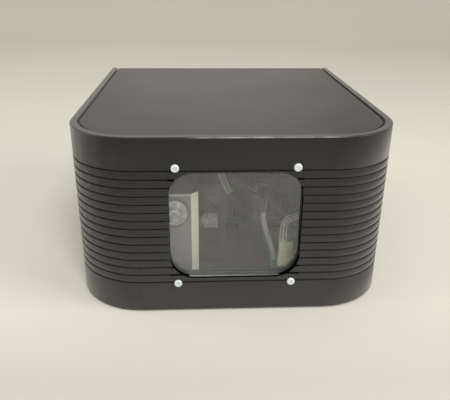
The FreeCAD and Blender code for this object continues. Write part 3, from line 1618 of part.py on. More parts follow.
def make_fan_guard():
    """Wire rings on two diagonal wires that end in eyes at the fan's screws."""
    wire = dim.guard_wire
    y = rear_face + wire + dim.guard_gap
    rings = [hoop((fan_x, y, middle), dim.guard_ring_step * (number + 1), wire)
             for number in range(SIZES["guard_ring_count"])]
    eyes = [hoop((x, y, z), dim.guard_eye_radius, wire) for x, z in fan_screw_places()]
    reach = dim.fan_hole_spacing / 2 * math.sqrt(2) - dim.guard_eye_radius
    wires = []
    for angle in (45, 135):
        spoke = group([rod("z", (0, 0), wire, -reach, reach)])
        wires.append(turned(spoke, FreeCAD.Vector(0, 1, 0), angle, fan_x, y, middle))
    node("fan_guard", fuse(*rings, *eyes, *wires))
    face = y + wire
    node("fan_screws", group([
        pan_screw("y", 1, place, face, dim.fan_screw_radius, dim.fan_screw_length,
                  dim.fan_screw_head_radius, dim.screw_head_height) for place in fan_screw_places()]))


# Wires inside the case

RUN_SHARE = 0.45
# Points between a wire's two ends, as across, behind the front face and up
SCANNER_SIGNAL = [(34.5, 26, 51), (45, 27, 53.5), (62, 42, 57), (66, 75, 62), (58, 120, 64), (44, 160, 66)]
SCANNER_SUPPLY = [(23.5, 31, 36), (20, 31, 48), (20.8, 32, 59), (23.5, 33, 70), (29, 40, 77), (27, 62, 90),
                  (21, 100, 96), (24, 145, 93)]
X_MOTOR_LEAD = [(34, 36, 52), (20, 52, 58), (4, 68, 62)]
Y_MOTOR_LEAD = [(-53.5, 38, 60), (-53, 42, 75), (-42, 41, 87), (-20, 36, 91), (-10.5, 34, 87),
                (-7.4, 34, 79.5), (-1.3, 34, 64.9), (13.5, 40, 43), (27.5, 37, 44.3), (46.3, 37, 47.7),
                (53, 31, 49)]
BLUE_LEAD = [(-26, 143, 62.5), (-14, 143, 58)]
# Where the supply wires are soldered to the scanner driver, from its front left corner
SUPPLY_PADS = (2.5, 11)
# Points near an end, as steps from it
UP_FROM_PLUG, UP_FROM_BOARD = [(0, 0, 9)], [(0, 0, 5.4)]
TO_MAIN_BOARD = [(-2, -26, 15), (0, -10, 0)]
IN_FRONT_OF_HEADER = [(0, -10, 0)]
BEHIND_X_MOTOR = [(0, 10, 0)]
LEFT_OF_Y_MOTOR = [(-6.5, 0, 0)]
BESIDE_LASER = [(8, 0, 0)]
NEUTRAL_LEAD, EARTH_LEAD = [(0, -5, 0)], [(0, -6, 0)]
LIVE_LEAD = [(0, -6, 0), (0.3, -11, 7.5), (2, -8, 19)]
TO_ROCKER = [(0, -10, 0)]
SWITCHED_LEAD = [(0, -10, 0), (-2, -21, -5), (-7, -32, -14)]
BEHIND_TERMINAL, ABOVE_TERMINAL = [(0, 5, 0)], [(0, 0, 10)]


def place(x, y, z):
    return FreeCAD.Vector(*(as_size(part).value for part in (x, y, z)))


def route(start, leaving, between, arriving, end):
    """The corners of a wire from start to end, with steps near each end and free points between."""
    corners = [start] + [start + FreeCAD.Vector(*step) for step in leaving]
    corners += [FreeCAD.Vector(x, front.value + back, z) for x, back, z in between]
    return corners + [end + FreeCAD.Vector(*step) for step in arriving] + [end]


def wire_solid(corners, radius):
    """A wire along straight runs joined by tangent arcs, each as large as its two runs allow."""
    pieces, radii, start = [], [], corners[0]
    for before, here, after in zip(corners, corners[1:], corners[2:]):
        inward, outward = before - here, after - here
        trim = RUN_SHARE * min(inward.Length, outward.Length)
        half_turn = (math.pi - inward.getAngle(outward)) / 2
        bend = trim / math.tan(half_turn)
        inward.normalize()
        outward.normalize()
        towards_centre = inward + outward
        towards_centre.normalize()
        first, last = here + inward * trim, here + outward * trim
        summit = here + towards_centre * (bend / math.cos(half_turn) - bend)
        pieces += [Part.LineSegment(start, first), Part.Arc(first, summit, last)]
        radii.append(bend)
        start = last
    pieces.append(Part.LineSegment(start, corners[-1]))
    path = Part.Wire([piece.toShape() for piece in pieces])
    section = Part.Wire([Part.makeCircle(radius, corners[0], corners[1] - corners[0])])
    solid = path.makePipeShell([section], True, True)
    expected = math.pi * radius ** 2 * path.Length
    if abs(solid.Volume - expected) > expected / 100:
        raise RuntimeError(f"a wire has volume {solid.Volume:.2f} instead of {expected:.2f}")
    return solid, radii


def wire_bundle(corners, count, radius, first=(1, 0, 0), between=None, last=None):
    """Wires side by side along one route, a step apart across the two corners at each end and between."""
    across = [first] * 2 + [between or first] * (len(corners) - 4) + [last or first] * 2
    solids = []
    for number in range(count):
        step = dim.wire_step.value * (number - (count - 1) / 2)
        solid, radii = wire_solid([corner + FreeCAD.Vector(*way) * step
                                   for corner, way in zip(corners, across)], radius)
        solids.append(solid)
    print("bend radii", [round(bend, 1) for bend in radii])
    return solids


def signal_wires():
    """The leads of the scanner driver, to its plugs and its supply pads, and those of the lasers."""
    thin = dim.wire_radius.value
    level, upright, slanted, skewed = (1, 0, 0), (0, 0, 1), (0.6, 0, -0.8), (0.71, 0.71, 0)
    (first_x, first_y), (second_x, second_y) = header_places()
    header_face = main_board_front - dim.header_height
    signal_end = place(signal_header_x + dim.wire_step, header_face, button_z)
    wires = wire_bundle(route(place(first_x - dim.wire_step, first_y, plug_top), UP_FROM_PLUG, SCANNER_SIGNAL,
                              IN_FRONT_OF_HEADER, signal_end), 3, thin, level, slanted)
    pads = place(dim.driver_left + SUPPLY_PADS[0], driver_near + SUPPLY_PADS[1], board_top)
    supply_end = place(signal_header_x - dim.wire_step * 3 / 2, header_face, button_z)
    wires += wire_bundle(route(pads, UP_FROM_BOARD, SCANNER_SUPPLY, TO_MAIN_BOARD, supply_end), 2, thin)
    x_motor = place(scan_x, front + dim.mount_front - dim.motor_standout + dim.motor_length, beam_z)
    wires += wire_bundle(route(place(first_x + dim.wire_step * 1.4, first_y, plug_top), UP_FROM_PLUG,
                               X_MOTOR_LEAD, BEHIND_X_MOTOR, x_motor), 2, thin, level, upright, upright)
    y_motor = place(dim.motor_standout - dim.tower_right - dim.motor_length, scan_y, scan_z)
    wires += wire_bundle(route(y_motor, LEFT_OF_Y_MOTOR, Y_MOTOR_LEAD, UP_FROM_PLUG,
                               place(second_x, second_y, plug_top)), 3, thin, (0, 1, 0), skewed, skewed)
    lead_x = dim.laser_board_left + dim.lead_inset
    laser_right = column_x + dim.lens_gap + dim.lens_length + dim.laser_length
    for row in (dim.red_row, dim.green_row):
        y = front + row + dim.lead_side
        wires += wire_bundle([place(laser_right, y, beam_z), place(lead_x, y, beam_z),
                              place(lead_x, y, laser_board_top)], 1, thin)
    blue_y = front + dim.blue_row + dim.laser_length / 2
    blue = place(column_x + dim.laser_width / 2, blue_y, beam_z)
    wires += wire_bundle(route(blue, BESIDE_LASER, BLUE_LEAD, UP_FROM_PLUG,
                               place(lead_x, blue_y, laser_board_top)), 1, thin)
    return wires


def mains_wires():
    """The leads from the inlet and the switch to the supply's terminals."""
    thick = dim.mains_wire_radius.value
    tabs = rear_face - dim.inlet_body_depth - dim.inlet_tab
    live, neutral, earth = [place(x, tabs, z) for x, z in inlet_pin_places()]
    left, right, _, far = supply_span()
    mid, terminal_z = (left + right) / 2, (supply_top + terminal_top) / 2
    switch_back = rear_face - dim.rocker_body_depth
    offset = dim.rocker_body_width / 4
    in_switch = place(power_x - offset, switch_back, rocker_z - offset)
    out_switch = place(power_x + offset, switch_back, rocker_z + offset)
    over_terminal = place(mid, far - dim.terminal_depth / 2, terminal_top)
    wires = []
    for start, leaving, arriving, end in (
            (neutral, NEUTRAL_LEAD, BEHIND_TERMINAL, place(mid + dim.terminal_pitch * 2, far, terminal_z)),
            (earth, EARTH_LEAD, BEHIND_TERMINAL, place(mid + dim.terminal_pitch, far, terminal_z)),
            (live, LIVE_LEAD, TO_ROCKER, in_switch),
            (out_switch, SWITCHED_LEAD, ABOVE_TERMINAL, over_terminal)):
        wires += wire_bundle(route(start, leaving, [], arriving, end), 1, thick)
    return wires


def make_wires():
    for label, solids in (("signal_wires", signal_wires()), ("mains_wires", mains_wires())):
        made = doc.addObject("Part::Feature", label)
        made.Shape = Part.makeCompound(solids)
        node(label, made)


# Check and write

def check_document():
    """Stops if any object failed, any cut removed nothing, or any sub-part has no sound solid."""
    for item in doc.Objects:
        if "Invalid" in item.State or "Error" in item.State:
            raise RuntimeError(f"{item.Label} failed: {item.State}")
        if item.TypeId == "PartDesign::Pocket" and item.Shape.Volume >= item.BaseFeature.Shape.Volume:
            raise RuntimeError(f"{item.Label} cuts nothing")
    for label, item in nodes.items():
        shape = item.Shape
        if item.Label != label:
            raise RuntimeError(f"{label} is labelled {item.Label}")
        if shape.isNull() or not shape.isValid() or not shape.Solids:
            raise RuntimeError(f"{label} has no valid solid")


def main():
    make_shell()
    make_lid()
    make_base()
    make_feet()
    make_bushes()
    make_rear_panel()
    make_case_screws()
    make_window()
    make_bench()
    make_scanner()
    make_lasers()
    make_filters()
    driver_places = make_driver_board()
    laser_places = make_laser_board()
    supply_places = make_supply()
    make_components()
    make_standoffs(driver_places, laser_places, supply_places)
    make_controls()
    make_show_socket()
    make_inlet()
    node("connector_pins", group(make_dmx_sockets() + inlet_pins()))
    make_rocker()
    make_lock()
    make_fan_frame()
    make_fan_rotor()
    make_fan_guard()
    make_wires()
    doc.recompute()
    check_document()
    os.makedirs("parts", exist_ok=True)
    for label, item in nodes.items():
        item.Shape.exportStep(os.path.join("parts", f"{label}.step"))
    print(len(nodes), "nodes")


main()
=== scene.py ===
import json
import math
import random

import bpy
from mathutils import Matrix, Vector


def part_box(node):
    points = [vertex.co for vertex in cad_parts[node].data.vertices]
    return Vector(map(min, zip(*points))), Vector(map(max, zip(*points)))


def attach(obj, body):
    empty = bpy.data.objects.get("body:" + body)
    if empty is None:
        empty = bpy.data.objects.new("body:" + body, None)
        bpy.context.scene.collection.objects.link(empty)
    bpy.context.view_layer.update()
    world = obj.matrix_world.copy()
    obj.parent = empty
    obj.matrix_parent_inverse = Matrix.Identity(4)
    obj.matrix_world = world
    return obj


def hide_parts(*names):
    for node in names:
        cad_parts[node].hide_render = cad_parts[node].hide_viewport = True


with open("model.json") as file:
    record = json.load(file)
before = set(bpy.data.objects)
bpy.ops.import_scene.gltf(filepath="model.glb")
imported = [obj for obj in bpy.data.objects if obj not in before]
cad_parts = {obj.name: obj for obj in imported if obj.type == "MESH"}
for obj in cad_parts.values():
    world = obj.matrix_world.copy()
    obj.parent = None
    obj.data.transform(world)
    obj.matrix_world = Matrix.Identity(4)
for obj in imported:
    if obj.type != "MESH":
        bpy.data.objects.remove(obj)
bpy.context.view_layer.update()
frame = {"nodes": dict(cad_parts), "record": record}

# Looks of the laser show projector: finishes for the CAD pieces, coloured leads, small parts on the
# boards and the marks of the rear fittings, on a pale studio floor. Metres, in the part's frame.

nodes = frame["nodes"]

MM = 0.001
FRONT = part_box("front_side_shell")[0].y
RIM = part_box("front_side_shell")[1].z
# How far the glass reaches past the window's cut, behind the shell
LAP_SIDE, LAP_HEIGHT = 4 * MM, 1.2 * MM
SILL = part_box("window_glass")[0].z + LAP_HEIGHT


# Finishes

class Finish:
    """A Principled material, built up from textures that lie in the part's own frame."""

    def __init__(self, name, colour, roughness, metallic=0.0, **sockets):
        self.material = bpy.data.materials.new(name)
        self.material.use_nodes = True
        self.tree = self.material.node_tree
        self.shader = self.tree.nodes["Principled BSDF"]
        place = self.add("ShaderNodeTexCoord")
        self.point, self.normal = place.outputs["Object"], place.outputs["Normal"]
        self.shader.inputs["Base Color"].default_value = (*colour, 1)
        self.shader.inputs["Roughness"].default_value = roughness
        self.shader.inputs["Metallic"].default_value = metallic
        for socket, value in sockets.items():
            self.shader.inputs[socket.replace("_", " ")].default_value = value

    def add(self, kind, **settings):
        node = self.tree.nodes.new(kind)
        for setting, value in settings.items():
            setattr(node, setting, value)
        return node

    def feed(self, socket, source):
        self.tree.links.new(source, socket)

    def noise(self, size, detail=3, stretch=(1, 1, 1)):
        """Soft spots of a size in metres; a stretch under 1 draws them out along that axis."""
        place = self.add("ShaderNodeMapping")
        place.inputs["Scale"].default_value = stretch
        self.feed(place.inputs["Vector"], self.point)
        node = self.add("ShaderNodeTexNoise")
        node.inputs["Scale"].default_value = 1 / size
        node.inputs["Detail"].default_value = detail
        self.feed(node.inputs["Vector"], place.outputs["Vector"])
        return node.outputs["Fac"]

    def spread(self, value, low, high, start=0.3, stop=0.7):
        """Maps a texture's range to another, with its ends held."""
        node = self.add("ShaderNodeMapRange")
        self.feed(node.inputs["Value"], value)
        for socket, number in (("From Min", start), ("From Max", stop), ("To Min", low), ("To Max", high)):
            node.inputs[socket].default_value = number
        return node.outputs["Result"]

    def along(self, vector, axis):
        """How far a vector reaches along one axis."""
        node = self.add("ShaderNodeSeparateXYZ")
        self.feed(node.inputs["Vector"], vector)
        return node.outputs[axis]

    def combine(self, kind, one, other):
        """Works on two values, each a texture's or a plain number."""
        node = self.add("ShaderNodeMath", operation=kind)
        for socket, item in zip(node.inputs, (one, other)):
            if isinstance(item, (int, float)):
                socket.default_value = item
            else:
                self.feed(socket, item)
        return node.outputs["Value"]

    def between(self, value, low, high, soft):
        """A mask that is 1 between two values and fades over a soft edge outside them."""
        rise = self.spread(value, 0, 1, low - soft, low)
        fall = self.spread(value, 1, 0, high, high + soft)
        return self.both(rise, fall)

    def band(self, axis, low, high, soft):
        """A mask for what lies between two places on an axis."""
        return self.between(self.along(self.point, axis), low, high, soft)

    def ring(self, centre, low, high, soft):
        """A mask for what lies between two distances from a point."""
        node = self.add("ShaderNodeVectorMath", operation="DISTANCE")
        self.feed(node.inputs[0], self.point)
        node.inputs[1].default_value = centre
        return self.between(node.outputs["Value"], low, high, soft)

    def faces(self, axis, way, least=0.9):
        """A mask for the surfaces that look along an axis, forwards or backwards."""
        return self.spread(self.along(self.normal, axis), 0, 1, least * way, (least + 0.07) * way)

    def both(self, *masks):
        """A mask for what lies in all of the masks."""
        mask = masks[0]
        for other in masks[1:]:
            mask = self.combine("MULTIPLY", mask, other)
        return mask

    def tint(self, amount, colour):
        """Lays a colour over the base colour, as far as a mask says."""
        base = self.shader.inputs["Base Color"]
        node = self.add("ShaderNodeMix", data_type="RGBA")
        self.feed(node.inputs["Factor"], amount)
        if base.is_linked:
            self.feed(node.inputs["A"], base.links[0].from_socket)
        else:
            node.inputs["A"].default_value = base.default_value
        node.inputs["B"].default_value = (*colour, 1)
        self.feed(base, node.outputs["Result"])
        return self

    def vary(self, size, colour, amount=1.0, detail=3, stretch=(1, 1, 1)):
        """Clouds the base colour towards another one."""
        return self.tint(self.spread(self.noise(size, detail, stretch), 0, amount), colour)

    def gloss(self, size, low, high, stretch=(1, 1, 1)):
        """Varies the roughness between two values."""
        self.feed(self.shader.inputs["Roughness"], self.spread(self.noise(size, 4, stretch), low, high))
        return self

    def relief(self, height, depth):
        """Raises the surface by a texture, over any relief that it has."""
        node = self.add("ShaderNodeBump")
        node.inputs["Distance"].default_value = depth
        self.feed(node.inputs["Height"], height)
        normal = self.shader.inputs["Normal"]
        if normal.is_linked:
            self.feed(node.inputs["Normal"], normal.links[0].from_socket)
        self.feed(normal, node.outputs["Normal"])
        return self

    def grain(self, size, depth, detail=3, stretch=(1, 1, 1)):
        """Raises the surface by soft spots."""
        return self.relief(self.noise(size, detail, stretch), depth)


def coated_metal(name, colour, roughness, spread=0.07):
    """Satin paint or anodising: a fine orange peel, faint clouds and handling marks."""
    finish = Finish(name, colour, roughness, Specular_IOR_Level=0.6)
    finish.vary(22 * MM, [part * 1.5 for part in colour], 0.8)
    finish.gloss(9 * MM, roughness - spread, roughness + spread)
    return finish.grain(0.45 * MM, 0.012 * MM)


def bare_metal(name, colour, roughness, stretch=(1, 1, 1), metallic=1.0):
    """Bare metal with tool marks drawn out along one axis."""
    finish = Finish(name, colour, roughness, metallic)
    finish.vary(6 * MM, [part * 0.8 for part in colour], 0.7, stretch=stretch)
    finish.gloss(1.5 * MM, roughness * 0.75, roughness * 1.35, stretch)
    return finish.grain(0.25 * MM, 0.006 * MM, 4, stretch)


def moulded(name, colour, roughness, grain=0.3 * MM):
    """Moulded plastic or rubber with a spark-eroded grain."""
    finish = Finish(name, colour, roughness)
    finish.vary(5 * MM, [part * 1.25 for part in colour], 0.6)
    finish.gloss(3 * MM, roughness * 0.85, min(roughness * 1.15, 1))
    return finish.grain(grain, 0.015 * MM)


def black_plate(name, **sockets):
    """Black anodised aluminium with faint clouds, painted lighter towards the bottom as a painted
    reflection of the bright floor.
    """
    finish = Finish(name, (0.009, 0.0088, 0.0085), 0.33, Coat_Roughness=0.22, **sockets)
    # Painted reflection: the base colour lightens towards the bottom, standing in for the bright floor that
    # the lower faces mirror.
    finish.tint(finish.spread(finish.along(finish.point, "Z"), 1, 0, 0, RIM), (0.038, 0.036, 0.032))
    finish.vary(70 * MM, (0.021, 0.0203, 0.0192), 0.3, 2)
    finish.gloss(45 * MM, 0.31, 0.35)
    return finish.grain(0.4 * MM, 0.008 * MM)


def case_finish():
    """The shell, with the dust's sheen, painted shade in the window's cut, a front rim lightened in
    patches, partly by wear through the anodising and partly as a painted highlight, and a painted highlight
    along the sill.
    """
    finish = black_plate("black_case", Sheen_Roughness=0.55, Sheen_Tint=(1, 0.94, 0.88, 1))
    black, bare_and_highlight = (0.003, 0.003, 0.003), (0.34, 0.33, 0.3)
    low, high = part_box("window_glass")
    cut = finish.both(finish.band("X", low.x + LAP_SIDE, high.x - LAP_SIDE, 0.1 * MM),
                      finish.band("Y", FRONT + 0.3 * MM, FRONT + 6 * MM, 0.2 * MM),
                      finish.band("Z", low.z + LAP_HEIGHT, high.z - LAP_HEIGHT, 0.1 * MM))
    # Painted shade: the window's cut is tinted near black and loses its specular, coat and sheen, so that
    # it reads as shade.
    finish.tint(cut, black)
    for socket, level in (("Specular IOR Level", 0.2), ("Coat Weight", 0.2), ("Sheen Weight", 0.18)):
        finish.feed(finish.shader.inputs[socket], finish.spread(cut, level, 0, 0, 1))
    # The front rim's chamfer is lightened in patches, partly real wear through the anodising and partly a
    # painted highlight.
    rim = finish.both(finish.band("Z", RIM - 0.55 * MM, RIM - 0.15 * MM, 0.15 * MM),
                      finish.band("Y", FRONT - MM, FRONT + MM, MM),
                      finish.band("X", -16 * MM, 52 * MM, 14 * MM))
    patches = finish.spread(finish.noise(9 * MM, 4, (1, 1, 0.1)), 0.35, 0.9, 0.35, 0.65)
    finish.tint(finish.both(rim, patches), bare_and_highlight)
    # Painted highlight: a pale band along the window's sill, fading towards the right.
    sill = finish.both(finish.band("Z", SILL - 0.3 * MM, SILL + 0.3 * MM, 0.2 * MM),
                       finish.band("Y", FRONT + 2.2 * MM, FRONT + 3.6 * MM, 0.3 * MM),
                       finish.band("X", -34 * MM, 34 * MM, MM))
    highlight_fade = finish.spread(finish.along(finish.point, "X"), 1, 0.45, -28 * MM, 26 * MM)
    return finish.tint(finish.both(sill, highlight_fade), bare_and_highlight).material


def glass_finish():
    """Clear glass, coated on its front so that it mirrors the room, with a little dust."""
    finish = Finish("window_glass", (0.8, 0.8, 0.78), 0.6)
    clear = finish.add("ShaderNodeBsdfTransparent")
    clear.inputs["Color"].default_value = (0.97, 0.98, 0.97, 1)
    mirror = finish.add("ShaderNodeBsdfGlossy")
    mirror.inputs["Roughness"].default_value = 0.03
    fresnel = finish.add("ShaderNodeFresnel")
    fresnel.inputs["IOR"].default_value = 2.4
    inside = finish.add("ShaderNodeNewGeometry").outputs["Backfacing"]
    coated = finish.both(fresnel.outputs["Fac"], finish.spread(inside, 1, 0, 0, 1))
    polished = finish.add("ShaderNodeMixShader")
    dusty = finish.add("ShaderNodeMixShader")
    output = finish.tree.nodes["Material Output"]
    finish.feed(polished.inputs["Fac"], coated)
    finish.feed(polished.inputs[1], clear.outputs["BSDF"])
    finish.feed(polished.inputs[2], mirror.outputs["BSDF"])
    finish.feed(dusty.inputs["Fac"], finish.spread(finish.noise(9 * MM, 6), 0.0, 0.03, 0.4, 0.75))
    finish.feed(dusty.inputs[1], polished.outputs["Shader"])
    finish.feed(dusty.inputs[2], finish.shader.outputs["BSDF"])
    finish.feed(output.inputs["Surface"], dusty.outputs["Shader"])
    return finish.material


def filter_finish():
    """Thin coated glass that lets a bluish half of the light through."""
    finish = Finish("dichroic_glass", (0.45, 0.62, 0.85), 0.05, 0.6, Alpha=0.45)
    return finish.gloss(4 * MM, 0.03, 0.09).grain(3 * MM, 0.004 * MM).material


def tower_finish():
    """Dull aluminium, with a paler front, a painted highlight along the front's top edge, and a bevel
    painted pale cream as a painted highlight.
    """
    finish = bare_metal("dull_aluminium", (0.12, 0.12, 0.12), 0.5, (1, 1, 0.15), 0.15)
    finish.tint(finish.faces("Y", -1), (0.22, 0.22, 0.215))
    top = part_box("scanner_tower")[1].z
    # Painted highlight: a lighter strip along the top of the front face.
    edge = finish.both(finish.faces("Y", -1, 0.5), finish.band("Z", top - 1.2 * MM, top, 0.8 * MM))
    finish.tint(edge, (0.42, 0.42, 0.4))
    # Painted highlight: the bevel between the front and the right side is painted pale cream, as if lit
    # from the right.
    bevel = finish.both(finish.faces("X", 1, 0.5), finish.faces("Y", -1, 0.5))
    return finish.tint(bevel, (0.8, 0.77, 0.64)).material


def disc_finish():
    """A cast disc with a painted shade round its edge, and painted highlights in patches on a ring and on
    its bolt.
    """
    finish = Finish("scuffed_disc_painted_light", (0.34, 0.34, 0.33), 0.4, 0.35)
    finish.vary(2.6 * MM, (0.68, 0.68, 0.65), 0.8, 4)
    finish.vary(3.4 * MM, (0.14, 0.14, 0.14), 0.55, 2)
    low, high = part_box("tower_clamp_disc")
    centre = ((low.x + high.x) / 2, low.y, (low.z + high.z) / 2)
    edge_shade, painted_highlight = (0.12, 0.12, 0.12), (0.7, 0.7, 0.67)
    patches = finish.spread(finish.noise(4.5 * MM, 4), 0, 0.9, 0.48, 0.62)
    # Painted shade round the disc's edge.
    finish.tint(finish.ring(centre, 8.8 * MM, 10 * MM, 0.8 * MM), edge_shade)
    # Painted highlights in patches on a ring and on the bolt.
    for start, stop in ((5.5, 7.5), (0, 2)):
        finish.tint(finish.both(finish.ring(centre, start * MM, stop * MM, 0.8 * MM), patches), painted_highlight)
    return finish.gloss(1.5 * MM, 0.3, 0.55).grain(1.1 * MM, 0.1 * MM).material


def mirror_finish(name, colour, metallic):
    """Front-silvered glass with blackened ends; darker and less metallic where dust has dulled it."""
    finish = bare_metal(name, colour, 0.1, metallic=metallic)
    for axis in ("X", "Y"):
        for way in (-1, 1):
            finish.tint(finish.faces(axis, way), (0.03, 0.03, 0.03))
    return finish.material


def board_finish():
    """Green solder mask, with copper tracks showing through as a paler weave."""
    finish = Finish("green_board", (0.012, 0.11, 0.04), 0.35)
    finish.vary(14 * MM, (0.008, 0.09, 0.035), 0.8)
    tracks = finish.spread(finish.noise(2.2 * MM, 0, (1, 0.12, 1)), 0, 1, 0.5, 0.56)
    finish.tint(finish.combine("MULTIPLY", tracks, 0.5), (0.05, 0.3, 0.12))
    return finish.gloss(3 * MM, 0.28, 0.42).relief(tracks, 0.03 * MM).material


def parts_finish():
    """Sleeved and moulded components, in a dark blue-grey with faint clouds."""
    finish = moulded("board_parts", (0.03, 0.032, 0.045), 0.4)
    return finish.vary(11 * MM, (0.05, 0.06, 0.09), 0.8).material


def tinted_window():
    """Tinted acrylic in front of the display."""
    finish = Finish("display_red", (0.12, 0.004, 0.006), 0.12, Alpha=0.62)
    return finish.gloss(8 * MM, 0.08, 0.2).grain(6 * MM, 0.003 * MM).material


def insulation(name, colour):
    """Extruded wire insulation, with faint bands where it was handled."""
    finish = Finish(name, colour, 0.42)
    finish.vary(7 * MM, [part * 0.75 for part in colour], 0.8)
    return finish.gloss(4 * MM, 0.34, 0.5).grain(0.6 * MM, 0.01 * MM)


def make_finishes():
    """A finish for each material slot of the record."""
    made = {
        "black_case": case_finish(),
        "window_glass": glass_finish(),
        "dichroic_glass": filter_finish(),
        "mirror_silver": mirror_finish("mirror_silver", (0.93, 0.93, 0.92), 1.0),
        "green_board": board_finish(),
        "board_parts": parts_finish(),
        "display_red": tinted_window(),
        "wire_colours": insulation("wire_colours", (0.4, 0.15, 0.05)).material,
        "mains_colours": insulation("mains_colours", (0.16, 0.07, 0.03)).material,
    }
    for slot, colour, roughness in (("black_sheet", (0.016, 0.016, 0.016), 0.55),
                                    ("bench_black", (0.02, 0.02, 0.02), 0.5),
                                    ("red_housing", (0.03, 0.02, 0.02), 0.45),
                                    ("green_housing", (0.02, 0.03, 0.022), 0.45),
                                    ("blue_housing", (0.02, 0.022, 0.032), 0.45),
                                    ("dark_screws", (0.03, 0.03, 0.03), 0.35),
                                    ("socket_metal", (0.025, 0.025, 0.026), 0.3)):
        made[slot] = coated_metal(slot, colour, roughness).material
    for slot, colour, roughness, stretch, metallic in (
            ("bright_screws", (0.82, 0.88, 0.85), 0.4, (1, 1, 1), 0.2),
            ("bare_aluminium", (0.74, 0.73, 0.69), 0.42, (1, 1, 0.15), 0.6),
            ("bush_steel", (0.6, 0.6, 0.58), 0.3, (0.15, 1, 1), 1.0),
            ("standoff_brass", (0.72, 0.53, 0.24), 0.3, (1, 1, 0.15), 1.0),
            ("shaft_steel", (0.5, 0.5, 0.48), 0.35, (0.15, 0.15, 1), 0.7),
            ("cage_steel", (0.6, 0.6, 0.57), 0.4, (1, 0.15, 1), 1.0),
            ("guard_chrome", (0.75, 0.75, 0.74), 0.15, (1, 1, 1), 1.0),
            ("lock_chrome", (0.78, 0.78, 0.77), 0.18, (1, 1, 1), 1.0),
            ("key_steel", (0.72, 0.71, 0.68), 0.28, (1, 1, 0.15), 1.0)):
        made[slot] = bare_metal(slot, colour, roughness, stretch, metallic).material
    for slot, colour, roughness in (("black_rubber", (0.012, 0.012, 0.012), 0.8),
                                    ("cream_nylon", (0.66, 0.63, 0.43), 0.5),
                                    ("display_face", (0.02, 0.02, 0.02), 0.5),
                                    ("fan_plastic", (0.018, 0.018, 0.018), 0.48),
                                    ("socket_plastic", (0.018, 0.018, 0.018), 0.45),
                                    ("rocker_plastic", (0.3, 0.012, 0.01), 0.3),
                                    ("button_plastic", (0.03, 0.03, 0.03), 0.42)):
        made[slot] = moulded(slot, colour, roughness).material
    return made


finishes = make_finishes()
OWN_FINISHES = {
    "top_lid": black_plate("black_lid", Specular_IOR_Level=0.25, Coat_Weight=0.22).material,
    "scanner_tower": tower_finish(),
    "tower_clamp_disc": disc_finish(),
    "window_retainer": coated_metal("grey_zinc", (0.16, 0.16, 0.155), 0.5).material,
    "x_scanner_shaft": coated_metal("blued_steel", (0.03, 0.03, 0.034), 0.35).material,
    "y_scanner_shaft": coated_metal("dull_steel", (0.15, 0.15, 0.15), 0.5).material,
    "y_scanner_mirror": mirror_finish("dusty_mirror", (0.66, 0.67, 0.64), 0.78),
}


# The CAD pieces

FINE_EDGE, EDGE = 0.1 * MM, 0.18 * MM
SHARP = math.radians(35)
FLAT = math.radians(0.4)
SMOOTH_ONLY = {"signal_wires", "mains_wires", "fan_guard", "fan_rotor", "x_scanner_mirror",
               "y_scanner_mirror"}
LARGE = {"front_side_shell", "top_lid", "base_plate", "rear_panel", "optical_plate", "scanner_tower",
         "power_supply_cage", "window_retainer"}


def dress(label, slot):
    """Gives a CAD piece its finish and breaks its edges, so that they catch the light."""
    piece = nodes[label]
    piece.data.materials.clear()
    piece.data.materials.append(OWN_FINISHES.get(label, finishes[slot]))
    if label in SMOOTH_ONLY:
        return
    weld = piece.modifiers.new("weld", "WELD")
    weld.merge_threshold = 0.001 * MM
    flats = piece.modifiers.new("flats", "DECIMATE")
    flats.decimate_type = "DISSOLVE"
    flats.angle_limit = FLAT
    edges = piece.modifiers.new("edges", "BEVEL")
    edges.width = EDGE if label in LARGE else FINE_EDGE
    edges.segments = 2
    edges.limit_method = "ANGLE"
    edges.angle_limit = SHARP
    edges.harden_normals = True


for row in frame["record"]["subparts"]:
    dress(row["node"], row["material_slot"])


# Pieces made here

def mesh_piece(name, points, faces, slot, body="case", material=None):
    """A mesh in the part's frame that rides on a body; a material of its own goes before the slot's."""
    mesh = bpy.data.meshes.new(name)
    mesh.from_pydata(points, [], faces)
    mesh.update()
    piece = bpy.data.objects.new(name, mesh)
    bpy.context.scene.collection.objects.link(piece)
    mesh.materials.append(material or finishes[slot])
    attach(piece, body)
    return piece


BOX_CORNERS = [(x, y, z) for x in (-0.5, 0.5) for y in (-0.5, 0.5) for z in (-0.5, 0.5)]
BOX_FACES = [(0, 1, 3, 2), (4, 6, 7, 5), (0, 4, 5, 1), (2, 3, 7, 6), (0, 2, 6, 4), (1, 5, 7, 3)]


def blocks(name, items, slot, edge, material=None):
    """Small blocks with broken edges in one piece, each given by its centre and its size."""
    points, faces = [], []
    for centre, size in items:
        first = len(points)
        points += [tuple(c + s * corner for c, s, corner in zip(centre, size, corners))
                   for corners in BOX_CORNERS]
        faces += [tuple(first + index for index in face) for face in BOX_FACES]
    piece = mesh_piece(name, points, faces, slot, material=material)
    bevel = piece.modifiers.new("edges", "BEVEL")
    bevel.width = edge
    bevel.segments = 2
    bevel.harden_normals = True
    return piece


# Leads inside the case, along the routes of their CAD solids

